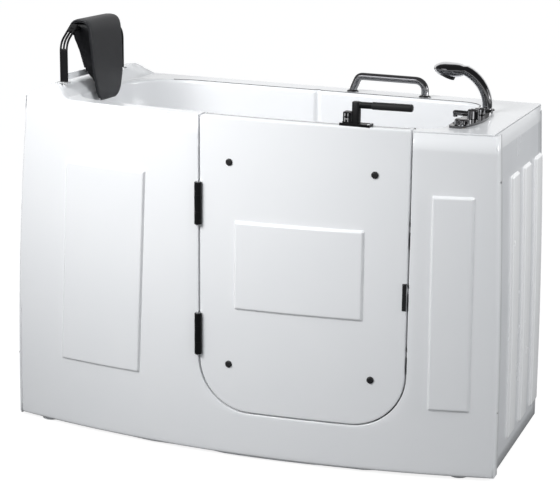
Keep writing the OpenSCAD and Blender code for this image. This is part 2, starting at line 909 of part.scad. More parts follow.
module door_core_frame() {
    stile_l = [door_x + skin_t + 1, door_x + skin_t + 26];
    stile_r = [door_end - 62, door_end - 36];
    // the upper bar stays above the room for the cam
    top_bar = max(rim_h - 101, cam_z + cam_high + 5);
    color(STEEL) difference() {
        intersection() {
            front_sheet(12, door_t - 12);
            door_prism(-skin_t - 1);
            under_rim(skin_t + 14);
            union() {
                for (s = [stile_l, stile_r]) box([s[0], -back_y, door_z + 60], [s[1], 0, 1200]);
                for (z = [door_z + 47, door_z + 287, rim_h - 306, top_bar])
                    box([stile_l[0], -back_y, z], [stile_r[1], 0, z + 24]);
            }
        }
        // room for the moving bridge of the lock bar and its cam
        box([lever_x - 22, -back_y, cam_z - lock_drop - 16], [door_end, 0, cam_z + cam_high + 4]);
        door_cutouts();
    }
}

module door_bolts() {
    color(STEEL) for (p = bolt_places()) on_front(p.x, p.y) translate([0, door_t + 2, 0]) rotate([90, 0, 0])
        cylinder(r = 4, h = door_t + 4);
}

module door_bolt_caps() {
    color(BLACK) for (p = bolt_places()) on_front(p.x, p.y) translate([0, -0.05, 0]) rotate([90, 0, 0])
        difference() {
            rotate_extrude() polygon(rounded([[0, 0], [10, 0], [10, 3], [7, 5], [0, 5]], [0, 0, 1.2, 2, 0]));
            translate([0, 0, -1]) cylinder(r = 4 + FIT, h = 3.2);
        }
}

module inner_bolt_caps() {
    color(CHROME) for (p = bolt_places()) on_front(p.x, p.y, door_t + 0.05) rotate([-90, 0, 0])
        difference() {
            rotate_extrude() polygon(rounded([[0, 0], [9, 0], [9, 2], [6, 4], [0, 4]], [0, 0, 1, 1.5, 0]));
            translate([0, 0, -1]) cylinder(r = 4 + FIT, h = 3.2);
        }
}

module latch_plate() {
    color(BLACK) difference() {
        on_rim(lever_x, lever_y) box([-43, -18, 0], [43, 18, 7]);
        translate([lever_x, lever_y, lever_z - 20]) cylinder(r = post_r + FIT, h = 40);
        for (x = [-38, 38], y = [-11, 11]) on_rim(lever_x + x, lever_y + y) translate([0, 0, -1])
            cylinder(r = 1.9, h = 10);
    }
}

module latch_plate_screws() {
    color(STEEL) for (x = [-38, 38], y = [-11, 11]) on_rim(lever_x + x, lever_y + y) {
        translate([0, 0, -12]) cylinder(r = 1.85, h = 19.1);
        translate([0, 0, 7.02]) rotate_extrude()
            polygon(rounded([[0, 0], [3.4, 0], [2.6, 1.8], [0, 2]], [0, 0, 1, 0]));
    }
}

module latch_stop_block() {
    color(BLACK) difference() {
        on_rim(lever_x, lever_y) box([-34, -14, 7], [-13.5, 14, 37]);
        for (x = [-29, -20]) on_rim(lever_x + x, lever_y) {
            box([-1.6, -16, 10], [1.6, -11, 22]);
            box([-1.6, -16, 25], [1.6, -11, 34]);
        }
    }
}

module stud_slot_cover() {
    color(BLACK) difference() {
        on_front(door_end - 6, stud_z[1]) box([-6.8, -1.8, -38.5], [4.8, 1, 38.5]);
        on_front(door_end - 6, stud_z[1]) box([-4, -3, -30], [2, -1.2, 30]);
    }
}

module lock_bar_guides() {
    color(STEEL) for (z = [430, 610]) difference() {
        box([bar_x - 5, stud_y - bar_w / 2 - 4, z - 10],
            [bar_x + bar_t + 9, stud_y + bar_w / 2 + 2.4, z + 10]);
        box([bar_x - GAP, stud_y - bar_w / 2 - GAP, z - 11],
            [bar_x + bar_t + GAP, stud_y + bar_w / 2 + GAP, z + 11]);
    }
}

// ---------- lever and lock bar ----------

module lever_arm() {
    top = lever_z + lever_rise;
    foot = lever_z + 0.7;
    color(BLACK) translate([lever_x, lever_y, 0]) {
        translate([0, 0, foot]) cylinder(r = post_r, h = top + 2 - foot);
        translate([0, 0, cam_z - cam_low]) cylinder(r = shaft_r, h = foot + 1 - cam_z + cam_low);
        translate([0, 0, top - arm_r]) rotate([0, 90, 0]) cylinder(r = arm_r, h = grip_start);
        translate([0, 0, top - arm_r]) rotate([0, 90, 0]) cylinder(r = core_r, h = lever_reach - 6);
    }
}

module lever_grip() {
    color(BLACK) translate([lever_x, lever_y, lever_z + lever_rise - arm_r]) rotate([0, 90, 0]) difference() {
        translate([0, 0, grip_start]) rotate_extrude() polygon(rounded(
            [[0, 0], [grip_r, 0], [grip_r, lever_reach - grip_start], [0, lever_reach - grip_start]],
            [0, 3, 4, 0]));
        cylinder(r = core_r + FIT, h = lever_reach - 6 + FIT);
    }
}

// Barrel cam on the lever's shaft; its groove climbs a quarter turn over the lock bar's drop
module lever_cam() {
    rate = 90 / lock_drop;
    h = lock_drop + 14;
    color(STEEL) translate([lever_x, lever_y, cam_z]) difference() {
        translate([0, 0, -cam_low]) cylinder(r = cam_r, h = cam_low + cam_high);
        translate([0, 0, -cam_low - 1]) cylinder(r = shaft_r + FIT, h = cam_low + cam_high + 2);
        translate([0, 0, -lock_drop - 7]) rotate([0, 0, -(lock_drop + 7) * rate])
            linear_extrude(h, twist = -h * rate, slices = 22)
                translate([cam_r, 0]) circle(groove_r, $fn = 16);
    }
}

module lock_bar() {
    run = [bar_x + bar_t / 2 - lever_x, stud_y - lever_y];
    color(STEEL) difference() {
        union() {
            box([bar_x, stud_y - bar_w / 2, stud_z[0] - 12],
                [bar_x + bar_t, stud_y + bar_w / 2, cam_z + follower_h / 2]);
            translate([lever_x, lever_y, cam_z - follower_h / 2]) rotate([0, 0, 200])
                cylinder(r = follower_r, h = follower_h);
            translate([lever_x, lever_y, cam_z - follower_h / 2 + 1]) rotate([0, 0, atan2(run.y, run.x)])
                translate([0, -3, 0]) cube([norm(run), 6, follower_h - 2]);
        }
        translate([lever_x, lever_y, cam_z - follower_h]) rotate([0, 0, 200])
            cylinder(r = cam_r + 0.4, h = 2 * follower_h);
    }
    color(STEEL) translate([lever_x + cam_r - 1.6, lever_y, cam_z]) rotate([0, 90, 0])
        cylinder(r = follower_pin_r, h = 4);
}

module lock_studs() {
    color(STEEL) for (z = stud_z) translate([bar_x + bar_t, stud_y, z + mouth_rise]) rotate([0, 90, 0])
        cylinder(r = stud_r, h = door_end + stud_reach - bar_x - bar_t);
}

// ---------- drain and overflow ----------

module drain_body() {
    tube_r = drain_r - 4.5;
    color(CHROME) translate([drain_x, drain_y, 0]) difference() {
        union() {
            translate([0, 0, floor_z]) cylinder(r = drain_r + 12, h = 2.5);
            translate([0, 0, waste_z + 22]) cylinder(r = drain_r, h = floor_z - waste_z - 21);
            translate([0, 0, rail_top - 8]) cylinder(r = drain_r + 7, h = 6, $fn = 6);
        }
        difference() {
            translate([0, 0, waste_z]) cylinder(r = tube_r, h = 200);
            translate([0, 0, floor_z - 20]) difference() {
                union() for (a = [0, 60, 120]) rotate([0, 0, a])
                    box([-tube_r - 1, -1.5, 0], [tube_r + 1, 1.5, 6]);
                translate([0, 0, -1]) cylinder(r = 4 + FIT, h = 10);
            }
        }
    }
}

module drain_plug() {
    color(CHROME) translate([drain_x, drain_y, floor_z + 2.5 + GAP]) {
        rotate_extrude()
            polygon(rounded([[0, 0], [drain_r + 5, 0], [drain_r + 3, 4], [0, 7]], [0, 0.5, 2, 0]));
        translate([0, 0, -38]) cylinder(r = 4, h = 39);
    }
}

module waste_trap() {
    top = waste_z + 34;
    color(PLASTIC) difference() {
        union() {
            translate([drain_x, drain_y, toe_gap]) cylinder(r = drain_r + 4, h = top - toe_gap);
            translate([drain_x, drain_y, waste_z]) rotate([-90, 0, 0])
                cylinder(r = waste_r, h = back_y - 15 - drain_y);
            translate([drain_x, drain_y, waste_z]) rotate([0, 90, 0]) cylinder(r = waste_r, h = drain_r + 24);
        }
        translate([drain_x, drain_y, waste_z + 22 - 6]) cylinder(r = drain_r + FIT, h = 60);
        translate([drain_x, drain_y, toe_gap + 4]) cylinder(r = drain_r - 3, h = 60);
        translate([drain_x, drain_y, waste_z]) rotate([-90, 0, 0]) cylinder(r = waste_r - 3, h = 400);
        translate([drain_x + drain_r + 8, drain_y, waste_z]) rotate([0, 90, 0])
            cylinder(r = 16 + FIT, h = 20);
        translate([drain_x, drain_y, waste_z]) rotate([0, 90, 0]) cylinder(r = 13, h = 60);
    }
}

module overflow_pipe() {
    r = 16;
    x0 = drain_x + drain_r + 8 + GAP;
    color(PLASTIC) difference() {
        union() {
            bent_bar([[x0, drain_y, waste_z], [overflow_pipe_x, drain_y, waste_z],
                      [overflow_pipe_x, drain_y, overflow_z]], r);
            translate([overflow_x, drain_y, overflow_z]) rotate([0, 90, 0]) cylinder(r = 24, h = 30);
            translate([overflow_pipe_x, drain_y, overflow_z]) sphere(r + 2);
        }
        translate([x0 - 1, drain_y, waste_z]) rotate([0, 90, 0])
            cylinder(r = r - 3, h = overflow_pipe_x - x0);
        translate([overflow_pipe_x, drain_y, waste_z]) cylinder(r = r - 3, h = overflow_z - waste_z);
        translate([overflow_x - 1, drain_y, overflow_z]) rotate([0, 90, 0]) cylinder(r = 15, h = 26);
    }
}

module overflow_plate() {
    color(CHROME) translate([cav_r, drain_y, overflow_z]) rotate([0, -90, 0]) difference() {
        union() {
            rotate_extrude() polygon(rounded([[0, 0], [36, 0], [36, 4], [28, 9], [0, 9]], [0, 0, 2, 3, 0]));
            translate([0, 0, -shell_t]) cylinder(r = 18, h = shell_t + 1);
        }
        for (a = [0:60:300]) rotate([0, 0, a]) translate([30, 0, -1]) cylinder(r = 2.5, h = 12);
        translate([0, 0, -shell_t - 1]) cylinder(r = 4 + FIT, h = 20);
    }
}

module overflow_knob() {
    color(CHROME) translate([cav_r - 9 - GAP, drain_y, overflow_z]) rotate([0, -90, 0]) {
        difference() {
            rotate_extrude() polygon(rounded([[0, 0], [23, 0], [23, 12], [0, 14]], [0, 2, 4, 0]));
            for (a = [0:60:300]) rotate([0, 0, a]) translate([26, 0, -1]) cylinder(r = 5, h = 20);
        }
        translate([0, 0, -13]) cylinder(r = 4, h = 14);
    }
}

// ---------- deck fittings ----------

module grab_bar() {
    lean = 17;
    top = grab_rise - grab_r;
    span = grab_x1 - grab_x0;
    bend = 22;
    color(CHROME) on_rim(grab_x0, grab_y) {
        bent_bar([[0, 0, 1], [0, 0, 12], [lean - 4, 0, top - 12], [lean + 10, 0, top], [span - bend, 0, top],
                  [span - 6, 0, top - 7], [span, 0, top - bend], [span, 0, 1]], grab_r);
        for (x = [0, span]) translate([x, 0, 0]) {
            rotate_extrude() polygon(rounded(
                [[0, 0], [grab_r + 8, 0], [grab_r + 8, 3], [grab_r + 2, 7], [0, 7]], [0, 0, 1.5, 2, 0]));
            translate([0, 0, -24]) cylinder(r = 4, h = 25);
        }
    }
}

module grab_bar_nuts() {
    color(STEEL) for (x = [grab_x0, grab_x1]) on_rim(x, grab_y) translate([0, 0, -shell_t - 9]) difference() {
        union() {
            cylinder(r = 7.5, h = 7, $fn = 6);
            translate([0, 0, 7]) cylinder(r = 12, h = 2);
        }
        translate([0, 0, -1]) cylinder(r = 4 + FIT, h = 12);
    }
}

module tap_plate() {
    arc = 430;
    color(CHROME) on_rim(tap_x, tap_y) difference() {
        linear_extrude(tap_plate_t) intersection() {
            translate([tap_w / 2 - arc, 0]) circle(arc, $fn = FN_BIG);
            polygon(rounded([[-tap_w / 2, -tap_len / 2], [tap_w / 2, -tap_len / 2],
                             [tap_w / 2, tap_len / 2], [-tap_w / 2, tap_len / 2]], [14, 30, 30, 14]));
        }
        for (y = [flow_at, diverter_at]) translate([0, y, -1]) cylinder(r = 5 + FIT, h = 20);
        translate([0, spout_at, -1]) cylinder(r = 9 + FIT, h = 20);
        translate([0, shower_at, -1]) cylinder(r = socket_r + FIT, h = 20);
    }
}

module valve_block() {
    color(BRASS) on_rim(tap_x, tap_y) difference() {
        union() {
            translate([-17, flow_at - 20, -52]) cube([34, diverter_at - flow_at + 40, 30]);
            for (y = [flow_at, diverter_at]) translate([0, y, -52]) cylinder(r = 10.5, h = 52);
            for (y = [flow_at + 22, spout_at + 30]) translate([0, y, -100]) cylinder(r = 10.5, h = 60);
        }
        for (y = [flow_at, diverter_at]) translate([0, y, -30]) cylinder(r = 5 + FIT, h = 40);
        translate([0, spout_at, -40]) cylinder(r = 9 + FIT, h = 40);
        for (y = [flow_at + 22, spout_at + 30]) translate([0, y, -101]) cylinder(r = 7.5, h = 50);
    }
}

module spout() {
    reach = 50;
    color(CHROME) on_rim(tap_x, tap_y + spout_at) difference() {
        union() {
            translate([0, 0, tap_plate_t]) rotate_extrude() polygon(rounded(
                [[0, 0], [17, 0], [15, 26], [0, 28]], [0, 1, 5, 0]));
            translate([0, 0, -38]) cylinder(r = 9, h = 60);
            translate([0, 0, 20]) rotate([0, -90, 0]) cylinder(r = 7.5, h = reach);
            translate([-reach, 0, 20]) sphere(7.5);
            translate([-reach, 0, 9]) cylinder(r = 6.5, h = 11);
        }
        translate([0, 0, -39]) cylinder(r = 5.5, h = 58);
        translate([-reach, 0, 20]) rotate([0, 90, 0]) cylinder(r = 4.5, h = reach);
        translate([-reach, 0, 0]) cylinder(r = 4.5, h = 20);
    }
}

module knob_shape(r, h, grips) {
    difference() {
        rotate_extrude() polygon(rounded([[0, 0], [r, 0], [r, h], [0, h + 1]], [0, 1.5, 4, 0]));
        for (i = [0:grips - 1]) rotate([0, 0, i * 360 / grips])
            translate([r + 1.4, 0, 4]) cylinder(r = 2.2, h = h);
    }
}

module flow_knob() {
    color(CHROME) on_rim(tap_x, tap_y + flow_at) {
        translate([0, 0, tap_plate_t + GAP]) knob_shape(20, 18, 18);
        translate([0, 0, -24]) cylinder(r = 5, h = 24 + tap_plate_t + 2);
    }
}

module diverter_knob() {
    color(CHROME) on_rim(tap_x, tap_y + diverter_at) {
        translate([0, 0, tap_plate_t + GAP]) knob_shape(15, 18, 12);
        translate([0, 0, 17]) rotate([0, -90, 0]) cylinder(r = 5, h = 26);
        translate([0, 0, -24]) cylinder(r = 5, h = 24 + tap_plate_t + 2);
    }
}

module shower_cradle() {
    color(CHROME) on_rim(tap_x, tap_y + shower_at) difference() {
        union() {
            translate([0, 0, tap_plate_t]) rotate_extrude() polygon(rounded(
                [[0, 0], [23, 0], [21, 5], [0, 5]], [0, 0.5, 2, 0]));
            translate([0, 0, -50]) cylinder(r = socket_r, h = 50 + tap_plate_t + 1);
        }
        translate([0, 0, -46]) cylinder(r = handset_r + GAP, h = 80);
        translate([0, 0, -51]) cylinder(r = 8, h = 10);
    }
}

// Place of the hand shower's face, measured from its cradle, and its lean
face_at = [-126, 96];
face_tilt = 24;
arc_turn = 74;

module handset_body() {
    start = tap_plate_t + 8;
    end = [-shower_bend + shower_bend * cos(arc_turn), start + shower_bend * sin(arc_turn)];
    color(CHROME) on_rim(tap_x, tap_y + shower_at) difference() {
        union() {
            translate([0, 0, -45]) cylinder(r = handset_r - 0.4, h = 47 + start);
            translate([0, 0, start - 2]) rotate_extrude() polygon(rounded(
                [[0, 0], [handset_r + 1.4, 0], [handset_r + 1.4, 6], [0, 6]], [0, 1, 1, 0]));
            translate([-shower_bend, 0, start]) rotate([90, 0, 0])
                rotate_extrude(angle = arc_turn, $fn = FN_MID) translate([shower_bend, 0]) circle(handset_r);
            translate([end.x, 0, end.y]) rotate([0, -arc_turn, 0]) translate([0, 0, -2])
                cylinder(r = handset_r - 0.4, h = 20);
            translate([face_at.x, 0, face_at.y]) rotate([0, face_tilt, 0]) rotate_extrude() polygon(rounded(
                [[0, 3], [30, 3], [34, 12], [31, 26], [16, 38], [0, 40]], [0, 2, 8, 8, 14, 0]));
        }
        translate([face_at.x, 0, face_at.y]) rotate([0, face_tilt, 0]) cylinder(r = 26 + FIT, h = 8);
    }
}

module handset_face() {
    color(BLACK) on_rim(tap_x, tap_y + shower_at)
        translate([face_at.x, 0, face_at.y]) rotate([0, face_tilt, 0]) difference() {
            translate([0, 0, 1]) cylinder(r = 26, h = 7);
            for (ring = [[0, 1], [8, 6], [15, 12], [21.5, 16]], i = [0:ring[1] - 1])
                rotate([0, 0, i * 360 / ring[1]]) translate([ring[0], 0, 0]) cylinder(r = 1, h = 4, $fn = 16);
        }
}

// ---------- headrest ----------

function bracket_places() = [pad_y - bracket_gap / 2, pad_y + bracket_gap / 2];

// Children in a frame on the headrest shelf at y
module on_shelf(y) {
    translate([bracket_x, y, shelf_z]) rotate([0, rim_tilt, 0]) children();
}

module headrest_sockets() {
    color(STEEL) for (y = bracket_places()) on_shelf(y) {
        box([-17, -10, 0], [17, 10, 4]);
        translate([0, 0, -22]) cylinder(r = 4, h = 23);
        translate([0, 0, -shell_t - FIT - 7.03]) cylinder(r = 7.5, h = 7, $fn = 6);
    }
}

bracket_bend = 46;
bracket_turn = 56;
bracket_slope = 62;
bracket_up = rod_rise - bracket_bend * sin(bracket_turn) - 38 * cos(bracket_turn);

// Flat bar bracket of one side, upright and then bent inwards; side is -1 or 1
module bracket(side) {
    t = bracket_t / 2;
    k = tan(bracket_turn / 2);
    dir = [sin(bracket_turn), cos(bracket_turn)];
    nrm = [dir.y, -dir.x];
    knee = [0, bracket_up + bracket_bend * k];
    end = knee + (bracket_bend * k + bracket_slope) * dir;
    translate([bracket_x, pad_y + side * bracket_gap / 2, shelf_z]) scale([1, -side, 1]) difference() {
        along_x(-bracket_w / 2, bracket_w / 2) polygon(rounded(
            [[-t, 4.23], [t, 4.23], knee + t * [1, -k], end + t * nrm, end - t * nrm, knee - t * [1, -k]],
            [0, 0, bracket_bend - t, 2, 2, bracket_bend + t], 10));
        translate([0, knee.x + bracket_bend * k * dir.x, knee.y + bracket_bend * k * dir.y])
            rotate([-bracket_turn, 0, 0]) for (x = [-4.6, 4.6]) box([x - 2.2, -12, -18], [x + 2.2, 12, 26]);
    }
}

module headrest_brackets() {
    color(BLACK) difference() {
        union() {
            for (side = [-1, 1]) bracket(side);
            box([bracket_x - 3, pad_y - bracket_gap / 2, shelf_z + 8],
                [bracket_x + 3, pad_y + bracket_gap / 2, shelf_z + 26]);
        }
        translate([rod_x, pad_y - 300, rod_z]) rotate([-90, 0, 0]) cylinder(r = rod_r + FIT, h = 600);
    }
}

module headrest_rod() {
    half = bracket_gap / 2 - 50;
    color(STEEL) translate([rod_x, pad_y - half, rod_z]) rotate([-90, 0, 0])
        cylinder(r = rod_r, h = 2 * half);
}

// Back plate of the headrest with the sleeve that turns on the rod
sleeve_r = 11;

module headrest_shell() {
    color(BLACK) translate([rod_x, pad_y, rod_z]) difference() {
        union() {
            rotate([90, 0, 0]) cylinder(r = sleeve_r, h = pad_w - 60, center = true);
            back_strip(0, pad_w - 90);
        }
        rotate([90, 0, 0]) cylinder(r = rod_r + FIT, h = pad_w, center = true);
    }
}

// Bent strip that carries the pad, grown by g
module back_strip(g, width) {
    z_low = 30 - rod_rise;
    x_low = -26 - 0.304 * (z_low + 46);
    along_y(-width / 2 - g, width / 2 + g) polygon([
        [-9 - g, 3], [-9 - g, -6], [-26 - g, -46], [x_low - g, z_low - g],
        [x_low + 5.4 + g, z_low + 2.4 - g], [-20 + g, -45.5], [-2 + g, -4], [-2 + g, 3]]);
}

// Pad: a thick rolled top over a wedge that thins downwards, crowned in the middle and narrower below
module headrest_pad() {
    top = pad_w / 2;
    low = pad_w / 2 - 28;
    roll = [[-16, 10, 13], [31, 13, 13], [8, 14, 15]];
    wedge = [[31, 0, 12], [-5, -47, 14], [44.5, -rod_rise - 61, 9]];
    color(BLACK) translate([rod_x, pad_y, rod_z]) difference() {
        union() {
            hull() for (p = roll, s = [-1, 1])
                translate([p[0], s * (top - p[2] - (p[0] == 8 ? 0 : 4)), p[1]]) sphere(p[2], $fn = 20);
            hull() {
                for (p = wedge, s = [-1, 1])
                    translate([p[0], s * ((p[1] < -100 ? low : top) - p[2] - 2), p[1]])
                        sphere(p[2], $fn = 20);
                for (s = [-1, 1]) translate([43, s * 46, -100]) sphere(12, $fn = 20);
            }
        }
        rotate([90, 0, 0]) cylinder(r = sleeve_r + FIT, h = pad_w + 10, center = true);
        back_strip(FIT, pad_w - 90);
        // the edge of the shelf, which the pad rests against
        translate([-rod_x, -pad_y, -rod_z]) difference() {
            box([cav_l - 60, pad_y - pad_w, shelf_z - 200], [cav_l + 60, pad_y + pad_w, shelf_z + 1]);
            linear_extrude(1300) basin_plan(-0.8);
        }
    }
}

tub_shell();
front_apron();
foot_end_panel();
head_end_panel();
end_panel_screws();
base_long_rails();
base_cross_rails();
door_sill_rail();
frame_posts();
rim_rails();
floor_board();
seat_board();
levelling_feet();
foot_locknuts();
door_jamb_plate();
door_seal();
hinge_frame_leaves();
hinge_frame_screws();
hinge_pins();
latch_keepers();
keeper_screws();
drain_body();
waste_trap();
overflow_pipe();
overflow_plate();
grab_bar();
grab_bar_nuts();
tap_plate();
valve_block();
spout();
shower_cradle();
headrest_sockets();
headrest_brackets();
headrest_rod();
door_outer_skin();
door_inner_skin();
door_core_frame();
hinge_door_leaves();
hinge_door_screws();
door_bolts();
door_bolt_caps();
inner_bolt_caps();
latch_plate();
latch_stop_block();
latch_plate_screws();
lock_bar_guides();
stud_slot_cover();
lever_arm();
lever_grip();
lever_cam();
lock_bar();
lock_studs();
flow_knob();
diverter_knob();
handset_body();
handset_face();
headrest_shell();
headrest_pad();
drain_plug();
overflow_knob();
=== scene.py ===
# %% [markdown]
# # Walk-in bathtub with a door
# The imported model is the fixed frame: it holds every part at its real size. The visible parts get finer
# meshes here, with rolled edges and soft corners, and every part gets a material. All lengths in the
# helper functions are in millimetres, because that is how the tub is drawn; MM turns them into metres.

# %% Load the frame
import bpy, bmesh, json, math
import numpy as np
from mathutils import Vector, Matrix
from mathutils.geometry import delaunay_2d_cdt

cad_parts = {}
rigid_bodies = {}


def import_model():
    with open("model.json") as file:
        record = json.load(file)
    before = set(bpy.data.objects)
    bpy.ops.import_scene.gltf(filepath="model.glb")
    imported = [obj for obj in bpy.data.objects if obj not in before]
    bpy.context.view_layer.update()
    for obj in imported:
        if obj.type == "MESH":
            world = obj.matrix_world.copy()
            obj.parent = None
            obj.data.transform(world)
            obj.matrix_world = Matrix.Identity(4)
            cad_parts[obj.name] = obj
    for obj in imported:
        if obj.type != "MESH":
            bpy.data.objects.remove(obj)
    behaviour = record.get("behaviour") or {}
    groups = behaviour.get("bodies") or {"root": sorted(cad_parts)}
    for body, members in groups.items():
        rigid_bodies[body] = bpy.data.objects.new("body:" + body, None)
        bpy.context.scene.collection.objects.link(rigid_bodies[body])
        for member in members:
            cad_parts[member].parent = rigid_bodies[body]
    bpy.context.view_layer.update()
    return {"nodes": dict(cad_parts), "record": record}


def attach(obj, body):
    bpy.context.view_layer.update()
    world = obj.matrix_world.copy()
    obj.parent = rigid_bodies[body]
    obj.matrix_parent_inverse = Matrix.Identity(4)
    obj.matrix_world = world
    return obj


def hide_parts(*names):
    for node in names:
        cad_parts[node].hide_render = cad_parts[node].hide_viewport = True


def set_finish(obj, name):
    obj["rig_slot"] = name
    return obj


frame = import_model()
MM = 0.001

# %% [markdown]
# The tub's surfaces follow a few rules: the front is an arc in plan, the rim falls by one degree towards
# the foot end, and both ends spread out on their way down. Each rule is one function, so that every piece
# that lies on such a surface finds it in the same place as the frame does.

# %% Surfaces of the tub
RIM_L, RIM_R, BACK, BASE = -690.0, 725.0, 350.0, 750.0
RIM_FOOT = RIM_R - 10
FRONT_MID, HALF_SPAN, BOW, RIM_DEPTH = 17.5, 707.5, 85.0, 685
FRONT_R = (HALF_SPAN ** 2 + BOW ** 2) / (2 * BOW)
FRONT_YC = BACK - RIM_DEPTH + FRONT_R
RIM_H, FALL = 1006.0, math.tan(math.radians(1))
HEAD_FLARE, FOOT_FLARE = 60.0, 25.0

def front_y(x, inside=0.0):
    return FRONT_YC - np.sqrt((FRONT_R - inside) ** 2 - (x - FRONT_MID) ** 2)

def rim_z(x):
    return RIM_H - FALL * (x - RIM_L)

def end_x(side, z):
    flare = HEAD_FLARE if side < 0 else FOOT_FLARE
    radius = (RIM_H ** 2 + flare ** 2) / (2 * flare)
    return side * (BASE - radius + np.sqrt(radius ** 2 - z * z))

print("front radius %.0f mm, rim %.0f to %.0f mm high" % (FRONT_R, rim_z(RIM_R), rim_z(RIM_L)))

# %% [markdown]
# Most shapes here are lofts: rows of points that are joined row by row. One helper turns rows into a mesh
# object, hides the frame's own part that the piece stands for, and lets the piece ride on its body.

# %% Helper: a mesh piece on its body
def add_object(name, data):
    obj = bpy.data.objects.new(name, data)
    bpy.context.scene.collection.objects.link(obj)
    return obj

def add_piece(name, verts, faces, body, slot, replaces=(), sharp=35):
    mesh = bpy.data.meshes.new(name)
    mesh.from_pydata([tuple(v) for v in verts], [], faces)
    mesh.update()
    work = bmesh.new()
    work.from_mesh(mesh)
    bmesh.ops.remove_doubles(work, verts=work.verts, dist=2e-6)
    bmesh.ops.recalc_face_normals(work, faces=work.faces)
    work.to_mesh(mesh)
    work.free()
    mesh.shade_smooth()
    mesh.set_sharp_from_angle(angle=math.radians(sharp))
    piece = add_object(name, mesh)
    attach(piece, body)
    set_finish(piece, slot)
    if replaces:
        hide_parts(*replaces)
    return piece

# %% [markdown]
# A loft joins each point of a row to its neighbour and to the next row. Several lofts can be merged into one
# piece. Modifiers are applied at once, so that the mesh holds their result.

# %% Helpers: lofts and modifiers
def loft_faces(rows, count, closed):
    faces = []
    wrap = count if closed else count - 1
    for a in range(0, (rows - 1) * count, count):
        b = a + count
        for i in range(wrap):
            j = (i + 1) % count
            faces.append((a + i, a + j, b + j, b + i))
    return faces

def loft(rows, closed=True, cap_first=False, cap_last=False):
    """Rows of points in millimetres to vertices in metres and faces."""
    count = len(rows[0])
    verts = np.array(rows, float).reshape(-1, 3) * MM
    faces = loft_faces(len(rows), count, closed)
    if cap_first:
        faces.append(tuple(range(count - 1, -1, -1)))
    if cap_last:
        faces.append(tuple(range((len(rows) - 1) * count, len(rows) * count)))
    return verts, faces

def merged(*parts):
    verts, faces, base = [], [], 0
    for v, f in parts:
        verts.append(np.asarray(v, float))
        faces += [tuple(i + base for i in face) for face in f]
        base += len(v)
    return np.vstack(verts), faces

def apply_modifiers(piece):
    deps = bpy.context.evaluated_depsgraph_get()
    mesh = bpy.data.meshes.new_from_object(piece.evaluated_get(deps))
    piece.modifiers.clear()
    piece.data = mesh
    return piece

def thicken(piece, amount, even=True):
    mod = piece.modifiers.new("thickness", "SOLIDIFY")
    mod.thickness, mod.offset, mod.use_even_offset = amount * MM, -1.0, even
    return apply_modifiers(piece)

def face_towards(piece, direction):
    """Turns all faces round if together they look away from the direction."""
    way = Vector(direction)
    if sum(f.normal.dot(way) * f.area for f in piece.data.polygons) < 0:
        piece.data.flip_normals()

print("a loft of 3 rows of 4 points has", len(loft_faces(3, 4, True)), "faces")

# %% [markdown]
# ## The moulded basin
# A walk-in tub is one sheet of acrylic, drawn down into a mould: rim, backrest, seat, riser and footwell
# flow into each other. It is built the same way, as rows of points that start at the rim's outer edge,
# cross the rim, roll over its inner edge and go down the wall. The floor, seat and riser close it below.
# FOLDS are the places along the tub where the floor's height bends, and the mesh has edges there.

# %% Outline of the basin at the rim
MOUTH_IN, MOUTH_HEAD, MOUTH_FOOT, MOUTH_BACK = 56, -555, 558, 258.0
FOOT_R, HEAD_BACK_R, HEAD_FRONT_R = 60, 200, 130
FOLDS = [-108, -92, -86, -80, -64]
FLUTE_X, FLUTE_HALF, FLUTE_DEPTH = 40, 15, 8
FLUTE_STEPS = (-19, -16, -13.5, -11, -8.5, -5.5, -2.5, 0, 2.5, 5.5, 8.5, 11, 13.5, 16, 19)

def arc_points(cx, cy, r, a0, a1, n):
    a = np.radians(np.linspace(a0, a1, n))
    return np.stack([cx + r * np.cos(a), cy + r * np.sin(a)], 1)

def mouth_front(x):
    return float(front_y(x, MOUTH_IN))

def back_y(x):
    """The back wall, with a shallow upright flute moulded into it."""
    off = x - FLUTE_X
    if abs(off) >= FLUTE_HALF:
        return MOUTH_BACK
    return MOUTH_BACK + FLUTE_DEPTH / 2 * (1 + math.cos(math.pi * off / FLUTE_HALF))

def corner(cx, cy, r, a0, a1, n):
    return [(x, y, (cx - x) / r, (cy - y) / r) for x, y in arc_points(cx, cy, r, a0, a1, n)]

def basin_outline():
    """Points round the basin's mouth, seen from above, anticlockwise, with the side's direction at each."""
    foot_x, foot_y = MOUTH_FOOT - FOOT_R, MOUTH_BACK - FOOT_R
    back_x, head_y = MOUTH_HEAD + HEAD_BACK_R, MOUTH_BACK - HEAD_BACK_R
    front_x = MOUTH_HEAD + HEAD_FRONT_R
    xs = sorted(set(list(np.linspace(front_x, foot_x, 78).round(1)) + FOLDS))
    front = [(x, mouth_front(x), 0, 1) for x in xs]
    foot_front = corner(foot_x, mouth_front(foot_x) + FOOT_R, FOOT_R, 270, 360, 9)[1:]
    foot = [(MOUTH_FOOT, y, -1, 0) for y in np.linspace(foot_front[-1][1], foot_y, 32)[1:-1]]
    foot_back = corner(foot_x, foot_y, FOOT_R, 0, 90, 9)
    wall = [x for x in xs if back_x <= x <= foot_x and abs(x - FLUTE_X) >= 21]
    wall += [FLUTE_X + d for d in FLUTE_STEPS]
    back = [(x, back_y(x), 0, -1) for x in sorted(set(wall), reverse=True)][1:]
    head_back = corner(back_x, head_y, HEAD_BACK_R, 90, 180, 24)[1:]
    head_front = corner(front_x, mouth_front(front_x) + HEAD_FRONT_R, HEAD_FRONT_R, 180, 270, 17)
    head = [(MOUTH_HEAD, y, 1, 0) for y in np.linspace(head_y, head_front[0][1], 14)[1:-1]]
    return np.array(front + foot_front + foot + foot_back + back + head_back + head + head_front[:-1])

MOUTH = basin_outline()
COUNT = len(MOUTH)
print("basin outline:", COUNT, "points")

